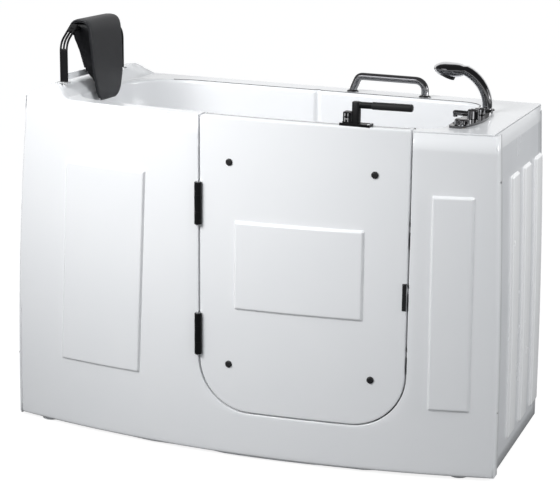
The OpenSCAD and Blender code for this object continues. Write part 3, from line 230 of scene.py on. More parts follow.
# %% [markdown]
# Each point on the basin's mouth has a partner on the rim's outer edge, found along a ray from the middle
# of the tub. The partners nearest to the four corners move into them, so that the corners stay crisp.

# %% Outer edge of the rim
SPINE_L, SPINE_R = -330.0, 430.0

def rim_edge_point(px, py):
    """The rim's outer edge along the ray from the tub's middle line through (px, py)."""
    sx, sy = min(max(px, SPINE_L), SPINE_R), 0.0
    dx, dy = px - sx, py - sy
    best = 1e9
    if dy > 1e-9: best = min(best, (BACK - sy) / dy)
    if dx > 1e-9: best = min(best, (RIM_FOOT - sx) / dx)
    if dx < -1e-9: best = min(best, (RIM_L - sx) / dx)
    ox, oy, size = sx - FRONT_MID, sy - FRONT_YC, dx * dx + dy * dy
    half = ox * dx + oy * dy
    if dy < -1e-9:
        best = min(best, (-half + math.sqrt(half * half + size * (FRONT_R ** 2 - ox * ox - oy * oy))) / size)
    return sx + best * dx, sy + best * dy

OUTER = np.array([rim_edge_point(x, y) for x, y in MOUTH[:, :2]])
RIM_CORNERS = [(x, y) for x in (RIM_L, RIM_FOOT) for y in (BACK, float(front_y(x)))]
for cx, cy in RIM_CORNERS:
    near = int(np.argmin(np.hypot(OUTER[:, 0] - cx, OUTER[:, 1] - cy)))
    OUTER[near] = (cx, cy)
widths = np.hypot(*(OUTER - MOUTH[:, :2]).T)
print("rim width: %.0f to %.0f mm" % (widths.min(), widths.max()))

# %% [markdown]
# The headrest stands on a raised shelf with bevelled sides. It is a height that is added to the rim: the
# least of four ramps, one for each side, limited to the shelf's height.

# %% Height of the rim
SHELF, SHELF_DEPTH, HEAD_RAMP, INNER_RAMP, LAND = 34, 135, 72, 37, 4

def shelf_rise(x, y):
    head = (x - RIM_L) / HEAD_RAMP * SHELF
    inner = (RIM_L + SHELF_DEPTH - x) / INNER_RAMP * SHELF
    front = (y - front_y(x)) - LAND
    back = BACK - LAND - y
    rise = np.minimum(np.minimum(head, inner), np.minimum(front, back))
    return np.clip(rise, 0, SHELF)

def rim_top(x, y):
    return rim_z(x) + shelf_rise(x, y)

print("head shelf: %.0f mm above the rim" % shelf_rise(RIM_L + HEAD_RAMP, 0.0))

# %% [markdown]
# Inside, a bather sits on a moulded seat with the feet in a lower well, and leans on a sloping head end. Two
# functions hold this: the height of the floor along the tub, and how far the wall leans in at each height.

# %% Height of the basin's floor, seat and riser
SEAT_Z, FLOOR_Z = 430, 125
LEAN, LEAN_TOP, LEAN_DROP, LEAN_END, LEAN_RUN = 85.0, 966.0, 536.0, -140.0, 285.0

def profile_z(x):
    """Floor height at x: seat, rounded edge, riser with a little draft, rounded foot, floor."""
    return np.interp(x, [-900] + FOLDS + [900], [SEAT_Z, SEAT_Z, 414, 270, 146, FLOOR_Z, FLOOR_Z])

def lean(x, z):
    """How far the head end has moved towards the foot at height z: the backrest."""
    down = np.clip((LEAN_TOP - z) / LEAN_DROP, 0, 1)
    share = np.clip((LEAN_END - x) / LEAN_RUN, 0, 1)
    return LEAN * down * share

print("seat at %.0f mm, floor at %.0f mm" % (profile_z(-300), profile_z(300)))

# %% [markdown]
# The shell's rows now follow from these rules. They are close together where the sheet bends, at the rim's
# outer edge, at the roll into the bowl and at the fillet of the floor, and further apart on the flat.

# %% Rows of the shell
ROLL, FILLET, EDGE = 10.0, 34.0, 2.5
RIM_SHARES = (0.02, 0.05, 0.1, 0.16, 0.23, 0.31, 0.39, 0.47, 0.55, 0.63, 0.71, 0.79, 0.86, 0.92, 0.97, 1.0)
WALL_ROWS = 18

def shell_rows():
    rows = []
    normal = MOUTH[:, 2:]
    inner = MOUTH[:, :2] - normal * ROLL
    span = np.hypot(*(inner - OUTER).T)
    shares = [np.zeros(COUNT), EDGE / span]
    shares += [EDGE / span + (1 - EDGE / span) * k for k in RIM_SHARES]
    for i, share in enumerate(shares):
        p = OUTER + (inner - OUTER) * share[:, None]
        z = rim_z(p[:, 0]) if i < 2 else rim_top(p[:, 0], p[:, 1])
        rows.append(np.column_stack([p, z]))
    top = rim_top(MOUTH[:, 0], MOUTH[:, 1])
    for a in (20, 40, 60, 78, 90):
        s = ROLL * (1 - math.sin(math.radians(a)))
        p = MOUTH[:, :2] - normal * s
        rows.append(np.column_stack([p, top - ROLL * (1 - math.cos(math.radians(a)))]))
    bottom = profile_z(MOUTH[:, 0])
    start = top - ROLL
    for k in range(1, WALL_ROWS + 1):
        z = start + (bottom + FILLET - start) * k / WALL_ROWS
        rows.append(np.column_stack([MOUTH[:, 0] + lean(MOUTH[:, 0], z), MOUTH[:, 1], z]))
    for a in (15, 30, 45, 60, 75, 90):
        s = FILLET * (1 - math.cos(math.radians(a)))
        z = bottom + FILLET * (1 - math.sin(math.radians(a)))
        x = MOUTH[:, 0] + lean(MOUTH[:, 0], z) + normal[:, 0] * s
        rows.append(np.column_stack([x, MOUTH[:, 1] + normal[:, 1] * s, z]))
    return rows

ROWS = shell_rows()
print("shell rows:", len(ROWS))

# %% [markdown]
# The floor, the riser and the seat are filled in plan with triangles that have edges along the folds, and
# are then lifted to their height. The fill keeps the last row's points, so it joins the wall exactly.

# %% Fill of the floor and the seat
FILL_IN, FILL_STEP = 9, 22

def floor_fill(edge):
    """Triangles inside the last row, with points kept clear of it and edges along the folds."""
    n = len(edge)
    pts = [Vector((p[0], p[1])) for p in edge]
    lines = [(i, (i + 1) % n) for i in range(n)]
    ys = {}
    for x in list(np.linspace(-440, -130, 14)) + FOLDS + list(np.linspace(-40, 500, 22)):
        hit = []
        for i in range(n):
            a, b = edge[i], edge[(i + 1) % n]
            if (a[0] - x) * (b[0] - x) <= 0 and abs(a[0] - b[0]) > 1e-6:
                hit.append(a[1] + (b[1] - a[1]) * (x - a[0]) / (b[0] - a[0]))
        if len(hit) >= 2:
            ys[x] = (min(hit) + FILL_IN, max(hit) - FILL_IN)
    for x, (y0, y1) in ys.items():
        for y in np.linspace(y0, y1, max(2, int((y1 - y0) / FILL_STEP))):
            pts.append(Vector((x, y)))
    for x in FOLDS:
        row = sorted((i for i, p in enumerate(pts) if abs(p.x - x) < 0.01), key=lambda i: pts[i].y)
        lines += list(zip(row[:-1], row[1:]))
    out, _, faces, source, _, _ = delaunay_2d_cdt(pts, lines, [list(range(n))], 1, 0.01)
    verts = [(p.x, p.y, float(profile_z(p.x))) for p in out]
    for i, src in enumerate(source):
        if src and src[0] < n:
            verts[i] = tuple(edge[src[0]])
    return np.array(verts) * MM, [tuple(f) for f in faces]

basin = add_piece("moulded_basin", *merged(loft(ROWS), floor_fill(ROWS[-1])), "tub", "moulded_shell",
                  ["tub_shell"], sharp=50)
print("basin:", len(basin.data.vertices), "points before it gets its thickness")

# %% [markdown]
# A maker cuts the doorway out of the finished moulding. Here a closed prism is taken away from the mesh in
# the same way. Edges that turn sharply get a small bevel, because no moulded or sawn edge is perfectly sharp.

# %% Helpers: cutters and rounded edges
def prism(points, y0, y1):
    """A prism along Y over points (x, z)."""
    return loft([[(x, y, z) for x, z in points] for y in (y0, y1)], cap_first=True, cap_last=True)

def cutter(name, *parts):
    verts, faces = merged(*parts)
    mesh = bpy.data.meshes.new(name)
    mesh.from_pydata([tuple(v) for v in verts], [], faces)
    work = bmesh.new()
    work.from_mesh(mesh)
    bmesh.ops.recalc_face_normals(work, faces=work.faces)
    work.to_mesh(mesh)
    work.free()
    return add_object(name, mesh)

def cut(piece, tool, sharp=35):
    mod = piece.modifiers.new("cut", "BOOLEAN")
    mod.operation, mod.solver, mod.object = "DIFFERENCE", "EXACT", tool
    apply_modifiers(piece)
    bpy.data.objects.remove(tool)
    piece.data.set_sharp_from_angle(angle=math.radians(sharp))

def round_sharp_edges(piece, size, segments=3):
    """Bevels the edges that turn by more than 60 degrees and returns how many there were."""
    work = bmesh.new()
    work.from_mesh(piece.data)
    chosen = [e for e in work.edges if len(e.link_faces) == 2 and e.calc_face_angle() > math.radians(60)]
    bmesh.ops.bevel(work, geom=chosen, offset=size * MM, segments=segments, profile=0.5, affect="EDGES",
                    clamp_overlap=True)
    work.to_mesh(piece.data)
    work.free()
    piece.data.shade_smooth()
    piece.data.set_sharp_from_angle(angle=math.radians(45))
    return len(chosen)

# %% [markdown]
# The sheet gets its 5 mm thickness on the hidden side. The place of the door is then cut out: the rim ends
# in front of the doorway, and the wall has an opening with round lower corners. Both cutters are prisms.

# %% Thickness and doorway
DOORWAY_L, DOORWAY_R = -105, 504
IN_FRONT, ABOVE = -420.0, 1100.0

def opening_outline(x0, x1, z0, r, top):
    left = arc_points(x0 + r, z0 + r, r, 180, 270, 16)
    right = arc_points(x1 - r, z0 + r, r, 270, 360, 16)
    return [(x0, top)] + [tuple(p) for p in left] + [tuple(p) for p in right] + [(x1, top)]

face_towards(basin, (0, 0, 1))
thicken(basin, 5)
print("rounded edges:", round_sharp_edges(basin, 1.4))
steps = np.linspace(DOORWAY_L, DOORWAY_R, 30)
notch_plan = [(x, IN_FRONT) for x in steps] + [(x, float(front_y(x, 51))) for x in steps[::-1]]
notch = loft([[(x, y, z) for x, y in notch_plan] for z in (780.0, ABOVE)], cap_first=True, cap_last=True)
doorway = prism(opening_outline(x0=-75, x1=475, z0=168, r=125, top=ABOVE), y0=IN_FRONT, y1=-226.0)
cut(basin, cutter("notch", notch), 50)
cut(basin, cutter("doorway", doorway), 50)
print("basin with doorway:", len(basin.data.polygons), "faces")

# %% [markdown]
# The rim is turned down at the back and at both ends, so that the panels tuck in under it. The lip leans
# out a little at the foot end. It is a strip that runs round three sides of the tub.

# %% Turned-down lip
def rim_lip():
    path = [(RIM_L, y, -4) for y in np.linspace(float(front_y(RIM_L)) + 0.5, BACK, 12)]
    path += [(x, BACK, 0) for x in np.linspace(RIM_L, RIM_FOOT, 24)[1:]]
    path += [(RIM_FOOT, y, 11) for y in np.linspace(BACK, float(front_y(RIM_R)) + 0.5, 14)[1:]]
    def row(drop, share, inside):
        """The path, lowered by the drop, with a share of its lean outwards, moved inside."""
        out = []
        for x, y, dx in path:
            at_head = dx < 0 or (dx == 0 and x <= RIM_L + 1)
            at_foot = dx > 0 or x >= RIM_FOOT - 1
            ix = inside if at_head else (-inside if at_foot else 0)
            iy = -inside if y >= BACK - 0.5 else 0
            out.append((x + dx * share + ix, y + iy, rim_z(x) - drop))
        return out
    rows = [row(5.0, 0, 0), row(20, 0.4, 0), row(43, 0.95, 0), row(44.6, 1, 0.6), row(45, 1, 2.0),
            row(45, 1, 3.5), row(43, 1, 4.6), row(7, 0.05, 4.6)]
    return loft(rows, closed=False)

lip = add_piece("rim_lip", *rim_lip(), "tub", "moulded_shell", sharp=60)
print("lip:", len(lip.data.polygons), "faces")

# %% [markdown]
# ## Front panel
# The front is one bowed panel round three sides of the door. Rows of points run from the edge of the
# doorway to the outer edge, so the mesh follows both outlines. The panel turns back at its two ends.

# %% Front panel
def doorway_edge():
    x0, x1, z0, r = DOORWAY_L, DOORWAY_R, 139, 154
    left = [(x0, z) for z in np.linspace(rim_z(x0) - 5, z0 + r, 15)]
    turn_l = [tuple(p) for p in arc_points(x0 + r, z0 + r, r, 180, 270, 15)[1:]]
    base = [(x, z0) for x in np.linspace(x0 + r, x1 - r, 13)[1:]]
    turn_r = [tuple(p) for p in arc_points(x1 - r, z0 + r, r, 270, 360, 15)[1:]]
    right = [(x1, z) for z in np.linspace(z0 + r, rim_z(x1) - 5, 15)[1:]]
    return left + turn_l + base + turn_r + right

def panel_edge():
    def side(s, zs):
        return [(float(end_x(s, z)), z) for z in zs]
    low, knee, under_l, under_r = 10, 260, -70, 430
    left = side(-1, np.linspace(rim_z(RIM_L) - 5, knee, 15)) + side(-1, np.linspace(knee, low, 8)[1:])
    base_l = [(x, low) for x in np.linspace(end_x(-1, low), under_l, 8)[1:]]
    base = [(x, low) for x in np.linspace(under_l, under_r, 13)[1:]]
    base_r = [(x, low) for x in np.linspace(under_r, end_x(1, low), 8)[1:]]
    right = side(1, np.linspace(low, knee, 8)[1:]) + side(1, np.linspace(knee, rim_z(RIM_R) - 5, 15)[1:])
    return left + base_l + base + base_r + right

def front_panel():
    inner, outer = np.array(doorway_edge(), float), np.array(panel_edge(), float)
    assert len(inner) == len(outer)
    n = len(inner)
    out_dir = np.zeros((n, 2))
    out_dir[:22] = (-1, 0)
    out_dir[21] = (-0.8, -0.8)
    out_dir[22:-22] = (0, -1)
    out_dir[-22:] = (1, 0)
    out_dir[-22] = (0.8, -0.8)
    turn_back = np.where(np.abs(out_dir[:, 0]) > 0.5, 42.0, 14.0)
    turn_r = 9
    into = outer - inner
    into = into / np.hypot(into[:, 0], into[:, 1])[:, None]
    def on(points, depth):
        return np.column_stack([points[:, 0], front_y(points[:, 0]) + depth, points[:, 1]])
    rows = [on(inner, 40), on(inner, 14), on(inner, 2.5)]
    rows += [on(inner + into * way, depth) for way, depth in ((0.4, 1.2), (1.2, 0.4), (2.5, 0))]
    start, stop = inner + into * 2.5, outer - out_dir * turn_r
    for k in np.linspace(0, 1, 15)[1:]:
        rows.append(on(start + (stop - start) * k, 0))
    for a in (22, 45, 68, 90):
        s, d = turn_r * (1 - math.sin(math.radians(a))), turn_r * (1 - math.cos(math.radians(a)))
        rows.append(on(outer - out_dir * s, d))
    rows += [on(outer, turn_back * 0.6), on(outer, turn_back)]
    return loft(rows, closed=False)

front = add_piece("front_panel", *front_panel(), "tub", "moulded_shell", ["front_apron"], sharp=50)
face_towards(front, (0, -1, 0))
thicken(front, 3.6, even=False)
print("front panel:", len(front.data.polygons), "faces")

# %% [markdown]
# The raised panels are pressed into the sheet, with a soft edge all round. Each is a patch over four
# corners that dips just under the sheet at its border and swells to its height within a few millimetres.
# The same patch makes the panels on the front and on the door, and the ribs on the two ends.

# %% Raised panels
EDGE_STEPS = [0, 1.0, 2.0, 3.2, 4.5, 6.0, 8.0, 11.0]

def patch_lines(length):
    edge = EDGE_STEPS[-1]
    inner = [float(v) for v in np.linspace(edge, length - edge, max(3, int(length / 30)))[1:-1]]
    return [v / length for v in EDGE_STEPS + inner + [length - e for e in reversed(EDGE_STEPS)]]

def soft_step(d, run):
    t = np.clip(d / run, 0, 1)
    return t * t * (3 - 2 * t)

def raised_patch(corners, place, rise=8.0, run=8.0):
    """corners: bottom left, bottom right, top right, top left; place(u, v, height) gives the point."""
    c = np.array(corners, float)
    w = np.hypot(*(c[1] - c[0]))
    h = np.hypot(*(c[3] - c[0]))
    rows = []
    for v in patch_lines(h):
        row = []
        for u in patch_lines(w):
            p = (c[0] * (1 - u) + c[1] * u) * (1 - v) + (c[3] * (1 - u) + c[2] * u) * v
            lift = soft_step(min(u, 1 - u) * w, run) * soft_step(min(v, 1 - v) * h, run)
            row.append(place(p[0], p[1], -0.5 + (rise + 0.5) * lift))
        rows.append(row)
    return loft(rows, closed=False)

def on_front(x, z, height):
    return (x, float(front_y(x)) - height, z)

left_patch = raised_patch([(-577, 215), (-297, 215), (-271, 823), (-546, 829)], on_front)
right_patch = raised_patch([(563, 201), (680, 201), (674, 812), (558, 812)], on_front)
door_patch = raised_patch([(5, 445), (382, 445), (382, 705), (5, 705)], on_front)
add_piece("front_relief", *merged(left_patch, right_patch), "tub", "moulded_shell", sharp=80)
add_piece("door_relief", *door_patch, "door", "moulded_shell", sharp=80)
print("raised panels: 2 on the front, 1 on the door")

# %% [markdown]
# ## Door
# The door is two moulded skins that meet in the middle of its edge. Both come from one outline with round
# corners: the rows start at the seam, turn over a small radius and close in towards the middle.

# %% Door skins
def door_outline(inside):
    x0, x1, z0, r = -100 + inside, 500 - inside, 143 + inside, 150 - inside
    rt = max(9 - inside, 0.6)
    def top(x):
        return rim_z(x) - inside
    pts = [(x0, z) for z in np.linspace(top(x0) - rt, z0 + r, 22)]
    pts += [tuple(p) for p in arc_points(x0 + r, z0 + r, r, 180, 270, 17)[1:]]
    pts += [(x, z0) for x in np.linspace(x0 + r, x1 - r, 14)[1:]]
    pts += [tuple(p) for p in arc_points(x1 - r, z0 + r, r, 270, 360, 17)[1:]]
    pts += [(x1, z) for z in np.linspace(z0 + r, top(x1) - rt, 22)[1:]]
    pts += [tuple(p) for p in arc_points(x1 - rt, top(x1 - rt) - rt, rt, 0, 90, 6)[1:]]
    pts += [(x, top(x)) for x in np.linspace(x1 - rt, x0 + rt, 26)[1:]]
    pts += [tuple(p) for p in arc_points(x0 + rt, top(x0 + rt) - rt, rt, 90, 180, 6)[1:-1]]
    return np.array(pts, float)

def door_skin(seam, face, roll=3.0):
    """Rows from the seam's depth to the face's depth behind the front, then in to the middle."""
    way = 1 if face > seam else -1
    def on(points, depth):
        return np.column_stack([points[:, 0], front_y(points[:, 0]) + depth, points[:, 1]])
    rows = [on(door_outline(3.4), seam), on(door_outline(0.0), seam), on(door_outline(0.0), face - way * 9)]
    for a in (0, 30, 60, 90):
        s, d = roll * (1 - math.cos(math.radians(a))), roll * (1 - math.sin(math.radians(a)))
        rows.append(on(door_outline(s), face - way * d))
    rows.append(on(door_outline(8), face))
    edge, middle = door_outline(8), np.array([200.0, 560.0])
    for k in (0.96, 0.9, 0.8, 0.68, 0.56, 0.44, 0.32, 0.2, 0.1):
        rows.append(on(middle + (edge - middle) * k, face))
    return loft(rows, closed=True, cap_last=True)

def stud_slots():
    boxes = []
    for z in (340, 522, 695):
        pts = [(488, z - 21), (502, z - 21), (502, z + 25), (488, z + 25)]
        boxes.append(prism(pts, -276.5, -264.5))
    return boxes

outer_skin = add_piece("door_front_skin", *door_skin(25.9, 0.0), "door", "moulded_shell", ["door_outer_skin"])
inner_skin = add_piece("door_back_skin", *door_skin(26.1, 45.0), "door", "moulded_shell", ["door_inner_skin"])
for skin in (outer_skin, inner_skin):
    cut(skin, cutter("slots", *stud_slots()))
print("door skins:", len(outer_skin.data.polygons), len(inner_skin.data.polygons), "faces")

# %% [markdown]
# ## End panels
# Each end is closed by a flat sheet with three raised ribs. It sits 9 mm behind the edge of the front
# panel, and follows the flare of the tub.

# %% End panels
END_IN, RIB_HALF, RIB_LOW, RIB_HIGH = 9, 45, 62, 838

def end_sheet(side, depth):
    x_rim = RIM_R if side > 0 else RIM_L
    y0 = float(front_y(x_rim)) + 10
    rows = []
    for z in np.linspace(10, rim_z(x_rim) - 19, 26):
        x = float(end_x(side, z)) - side * depth
        rows.append([(x, y, z) for y in np.linspace(y0, BACK - 0.5, 12)])
    return rows

def on_end(side):
    def place(y, z, height):
        return (float(end_x(side, z)) - side * (END_IN - height), y, z)
    return place

for side, name, node in ((1, "foot", "foot_end_panel"), (-1, "head", "head_end_panel")):
    sheet = add_piece(name + "_panel", *loft(end_sheet(side, END_IN), closed=False), "tub", "moulded_shell",
                      [node])
    face_towards(sheet, (side, 0, 0))
    thicken(sheet, 4)
    ribs = []
    for y in (-15, 140, 295):
        y0, y1 = y - RIB_HALF, y + RIB_HALF
        corners = [(y0, RIB_LOW), (y1, RIB_LOW), (y1, RIB_HIGH), (y0, RIB_HIGH)]
        ribs.append(raised_patch(corners, on_end(side), 7.0, 9.0))
    add_piece(name + "_ribs", *merged(*ribs), "tub", "moulded_shell", sharp=80)
print("end panels with three ribs each")

# %% [markdown]
# ## Headrest cushion
# The cushion is upholstered foam: a dark core with a drawn-in side, and one cover panel that runs up the
# front, over the roll and curls down behind it. The core starts a little too small and is swollen with
# simulated cloth, so its faces crown and its corners pull in, as stuffed covers do.

# %% Outline of the cushion seen from its side
PAD_Y = -17.5
PAD_HEIGHTS = [966, 970, 976, 986, 1000, 1050, 1150, 1215]
PAD_HALF_WIDTHS = [26, 42, 56, 67, 77, 93, 101, 102]

def rounded_loop(points):
    """Cuts the corners of a closed line twice, so that it turns smoothly."""
    p = np.array(points, float)
    for _ in range(2):
        q = np.roll(p, -1, axis=0)
        p = np.stack([p * 0.75 + q * 0.25, p * 0.25 + q * 0.75], axis=1).reshape(-1, p.shape[1])
    return p

def pad_half_width(z):
    return float(np.interp(z, PAD_HEIGHTS, PAD_HALF_WIDTHS))

CORE_SIDE = rounded_loop([(-600, 1209), (-560, 1209), (-546, 1195), (-540, 1100), (-536, 990),
                          (-537, 976), (-545, 982), (-548.5, 1030), (-569, 1050), (-583, 1096),
                          (-598, 1140), (-607, 1170), (-608, 1200)])

def cushion_core():
    middle = CORE_SIDE.mean(axis=0)
    rows = []
    slices = [(-1, 0.9), (-0.975, 0.965)] + [(k, 1.0) for k in np.linspace(-0.93, 0.93, 13)]
    slices += [(0.975, 0.965), (1, 0.9)]
    for s, share in slices:
        ring = middle + (CORE_SIDE - middle) * share
        rows.append([(x, PAD_Y + s * (pad_half_width(z) - 9), z) for x, z in ring])
    return loft(rows, closed=True, cap_first=True, cap_last=True)

core = add_piece("cushion_core", *cushion_core(), "headrest", "pad_leather", ["headrest_pad"], sharp=80)
print("cushion core:", len(core.data.polygons), "faces before it swells")

# %% [markdown]
# Stuffing pushes a cover outwards until its seams hold it. Cloth with air pressure does the same: the core is
# first given an even mesh, since long faces would bend badly, and the swelling stops at a few millimetres.

# %% Swell a piece like a stuffed cover
def swell(piece, voxel, limit, frames=20, pressure=4.0):
    """Cloth with air pressure inside; no point moves further than the limit. Lengths in millimetres."""
    mod = piece.modifiers.new("even", "REMESH")
    mod.mode, mod.voxel_size = "VOXEL", voxel * MM
    apply_modifiers(piece)
    rest = np.array([v.co[:] for v in piece.data.vertices])
    cloth = piece.modifiers.new("air", "CLOTH")
    cloth.settings.use_pressure = True
    cloth.settings.uniform_pressure_force = pressure
    cloth.settings.effector_weights.gravity = 0.0
    cloth.point_cache.frame_end = frames
    for f in range(1, frames + 1):
        bpy.context.scene.frame_set(f)
    apply_modifiers(piece)
    bpy.context.scene.frame_set(1)
    way = np.array([v.co[:] for v in piece.data.vertices]) - rest
    far = np.linalg.norm(way, axis=1)
    way *= np.minimum(1.0, limit * MM / np.maximum(far, 1e-9))[:, None]
    for v, co in zip(piece.data.vertices, rest + way):
        v.co = co
    piece.data.update()
    piece.data.shade_smooth()
    mod = piece.modifiers.new("fine", "SUBSURF")
    mod.levels = mod.render_levels = 1
    apply_modifiers(piece)
    print(piece.name, "swelled by up to %.1f mm" % (min(limit, far.max() / MM)))
    return piece

swell(core, 5.0, 6.0)

# %% [markdown]
# The cover panel is one long cushioned sheet with a soft round edge. It follows a line on the side view
# and gets narrower towards the bottom. A thin seam runs where it meets the core.

# %% Cover panel and its seam
COVER_LINE = [(-542, 971), (-537, 971), (-534.5, 980), (-534, 1010), (-534.5, 1050), (-538, 1110),
              (-542, 1165), (-545, 1192), (-551, 1206), (-562, 1213), (-580, 1214.5), (-596, 1212),
              (-607, 1202), (-610.5, 1188), (-608, 1175), (-601, 1168)]

def resampled(points, count):
    p = np.array(points, float)
    for _ in range(2):
        a, b = p[:-1], p[1:]
        mid = np.stack([a * 0.75 + b * 0.25, a * 0.25 + b * 0.75], axis=1).reshape(-1, p.shape[1])
        p = np.vstack([p[:1], mid, p[-1:]])
    run = np.concatenate([[0], np.cumsum(np.linalg.norm(np.diff(p, axis=0), axis=1))])
    at = np.linspace(0, run[-1], count)
    return np.column_stack([np.interp(at, run, p[:, k]) for k in range(p.shape[1])])

def cover_panel(count=56, half=4.2, around=40):
    line = resampled(COVER_LINE, count)
    step = np.gradient(line, axis=0)
    step /= np.linalg.norm(step, axis=1)[:, None]
    out = np.column_stack([step[:, 1], -step[:, 0]])
    rows, seams = [], ([], [])
    for i, ((x, z), (nx, nz)) in enumerate(zip(line, out)):
        end = min(i, count - 1 - i)
        share = [0.25, 0.65, 0.88, 0.97][end] if end < 4 else 1.0
        pull = [9.0, 4.0, 1.5, 0.4][end] if end < 4 and i > 8 else 0.0
        w = pad_half_width(z) + 1.0 - pull
        row = []
        for a in np.linspace(0, 2 * math.pi, around, endpoint=False):
            c, s = math.cos(a), math.sin(a)
            y = w * math.copysign(abs(c) ** 0.16, c)
            h = half * share * math.copysign(abs(s) ** 0.55, s)
            row.append((x + nx * h, PAD_Y + y, z + nz * h))
        rows.append(row)
        if 2 <= i < count - 3:
            for k, side in enumerate((-1, 1)):
                seams[k].append((x - nx * 4.6, PAD_Y + side * (w - 3.2), z - nz * 4.6))
    return loft(rows, closed=True, cap_first=True, cap_last=True), seams

cover_mesh, seam_lines = cover_panel()
cover = add_piece("cushion_cover", *cover_mesh, "headrest", "pad_leather", sharp=80)

def tube_along(points, radius, sides=8):
    """A round tube along points in millimetres, closed at both ends."""
    p = np.array(points, float)
    step = np.gradient(p, axis=0)
    step /= np.linalg.norm(step, axis=1)[:, None]
    side = np.cross(step[0], (0.3, 0.9, 0.2))
    rows = []
    for q, t in zip(p, step):
        side = side - t * np.dot(side, t)
        side /= np.linalg.norm(side)
        other = np.cross(t, side)
        rows.append([q + radius * (math.cos(a) * side + math.sin(a) * other)
                     for a in np.linspace(0, 2 * math.pi, sides, endpoint=False)])
    return loft(rows, closed=True, cap_first=True, cap_last=True)

seam_mesh = merged(*[tube_along(line, 1.3) for line in seam_lines])
add_piece("cushion_seams", *seam_mesh, "headrest", "pad_leather", sharp=80)
print("cover panel:", len(cover.data.polygons), "faces, with two seams")

# %% [markdown]
# ## Hand shower
# The hand shower is one chromed moulding: a round handle that bends over and widens into a flat oval head.
# It is lofted from ellipses along one line. The spray plate is let into the underside of the head.

# %% Hand shower
def elliptic_loft(stations, y0, around=40):
    """stations: (x, z, half thickness in the plane, half width across it, lean in degrees)."""
    rows = []
    for x, z, a, b, turn in stations:
        nx, nz = math.cos(math.radians(turn)), math.sin(math.radians(turn))
        row = []
        for t in np.linspace(0, 2 * math.pi, around, endpoint=False):
            u, v = a * math.cos(t), b * math.sin(t)
            row.append((x + nx * u, y0 + v, z + nz * u))
        rows.append(row)
    return loft(rows, closed=True, cap_first=True, cap_last=True)

SHOWER_Y = 104.0

def shower_stations():
    out = [(608.2, 938.4, 5.0, 5.0, 1), (608.3, 939.0, 7.0, 7.0, 1), (608.3, 944.0, 7.4, 7.4, 1),
           (608.4, 951.0, 14.0, 14.0, 1), (608.5, 953.0, 14.5, 14.5, 1)]
    for z in (965, 985, 1000):
        out.append((608.8 + (z - 953) * 0.017, z, 14.5, 14.5, 1))
    bend = 110.0
    for a in np.linspace(8, 66, 9):
        x, z = 499.5 + bend * math.cos(math.radians(a)), 1000 + bend * math.sin(math.radians(a))
        thick, wide = np.interp(a, [8, 66], [14.5, 15.5]), np.interp(a, [8, 66], [14.5, 20.0])
        out.append((x, z, thick, wide, a))
    head = [(533, 1098.5, 17.5, 24.0, 70), (522, 1099.5, 20.5, 29.0, 70), (509, 1100.0, 22.5, 33.0, 70),
            (494, 1100.5, 23.0, 34.5, 70), (480, 1102.5, 21.5, 33.0, 70), (468, 1105.0, 18.0, 28.0, 70),
            (459, 1106.5, 13.0, 21.0, 70), (453, 1107.5, 7.5, 12.5, 70), (450.5, 1108.0, 3.0, 5.0, 70)]
    return out + head

shower_mesh = elliptic_loft(shower_stations(), SHOWER_Y)
shower = add_piece("hand_shower_body", *shower_mesh, "hand_shower", "chrome_plate", ["handset_body"],
                   sharp=50)
print("hand shower:", len(shower.data.polygons), "faces")

# %% [markdown]
# ## Headrest brackets
# Each bracket is a flat bar that stands on the shelf and bends in towards the pad, with two long slots in
# its bent part. The bars run on beside the slots, so the piece is made of strips along one line. A light
# cross strap joins the two brackets low down.

# %% Brackets, strap and foot plates
SHELF_Z, BAR_L, BAR_R, BRACKET_OUT = 1038.2, -599, -575, 187.5
SLOT_START, SLOT_STOP = 0.495, 0.845

def bracket_line(start, stop, turn=56.0, radius=46.0, slope=60.0):
    """Points (distance inwards, height) of the bar's middle, between two shares of its length."""
    up = 152 - radius * math.sin(math.radians(turn)) - 38 * math.cos(math.radians(turn))
    pts = [(0.0, 4.3), (0.0, up * 0.5), (0.0, up)]
    for a in np.radians(np.linspace(0, turn, 9)[1:]):
        pts.append((radius * (1 - math.cos(a)), up + radius * math.sin(a)))
    q, h = pts[-1]
    pts.append((q + slope * math.sin(math.radians(turn)), h + slope * math.cos(math.radians(turn))))
    p = np.array(pts)
    run = np.concatenate([[0], np.cumsum(np.hypot(*np.diff(p, axis=0).T))])
    at = np.linspace(start * run[-1], stop * run[-1], 28)
    return np.column_stack([np.interp(at, run, p[:, 0]), np.interp(at, run, p[:, 1])])

def flat_strip(side, x0, x1, start, stop, thick=6.0):
    line = bracket_line(start, stop)
    step = np.gradient(line, axis=0)
    step /= np.linalg.norm(step, axis=1)[:, None]
    y0 = PAD_Y + side * BRACKET_OUT
    rows = []
    for (q, h), (tq, th) in zip(line, step):
        nq, nh = th * thick / 2, -tq * thick / 2
        rows.append([(x, y0 - side * (q + k * nq), SHELF_Z + h + k * nh)
                     for x, k in ((x0, -1), (x0, 1), (x1, 1), (x1, -1))])
    return loft(rows, closed=True, cap_first=True, cap_last=True)

strips = []
for side in (-1, 1):
    strips.append(flat_strip(side, BAR_L, BAR_R, 0.0, 0.5))
    for x0, x1 in ((BAR_L, -594.6), (-589.2, -584.8), (-579.4, BAR_R)):
        strips.append(flat_strip(side, x0, x1, SLOT_START, SLOT_STOP))
    strips.append(flat_strip(side, BAR_L, BAR_R, 0.84, 1.0))
brackets = add_piece("bracket_bars", *merged(*strips), "tub", "black_metal", ["headrest_brackets"], sharp=40)
round_sharp_edges(brackets, 0.8, segments=2)

def box_mesh(low, high):
    (x0, y0, z0), (x1, y1, z1) = low, high
    ring = [(x0, y0), (x1, y0), (x1, y1), (x0, y1)]
    return loft([[(x, y, z0) for x, y in ring], [(x, y, z1) for x, y in ring]], cap_first=True, cap_last=True)

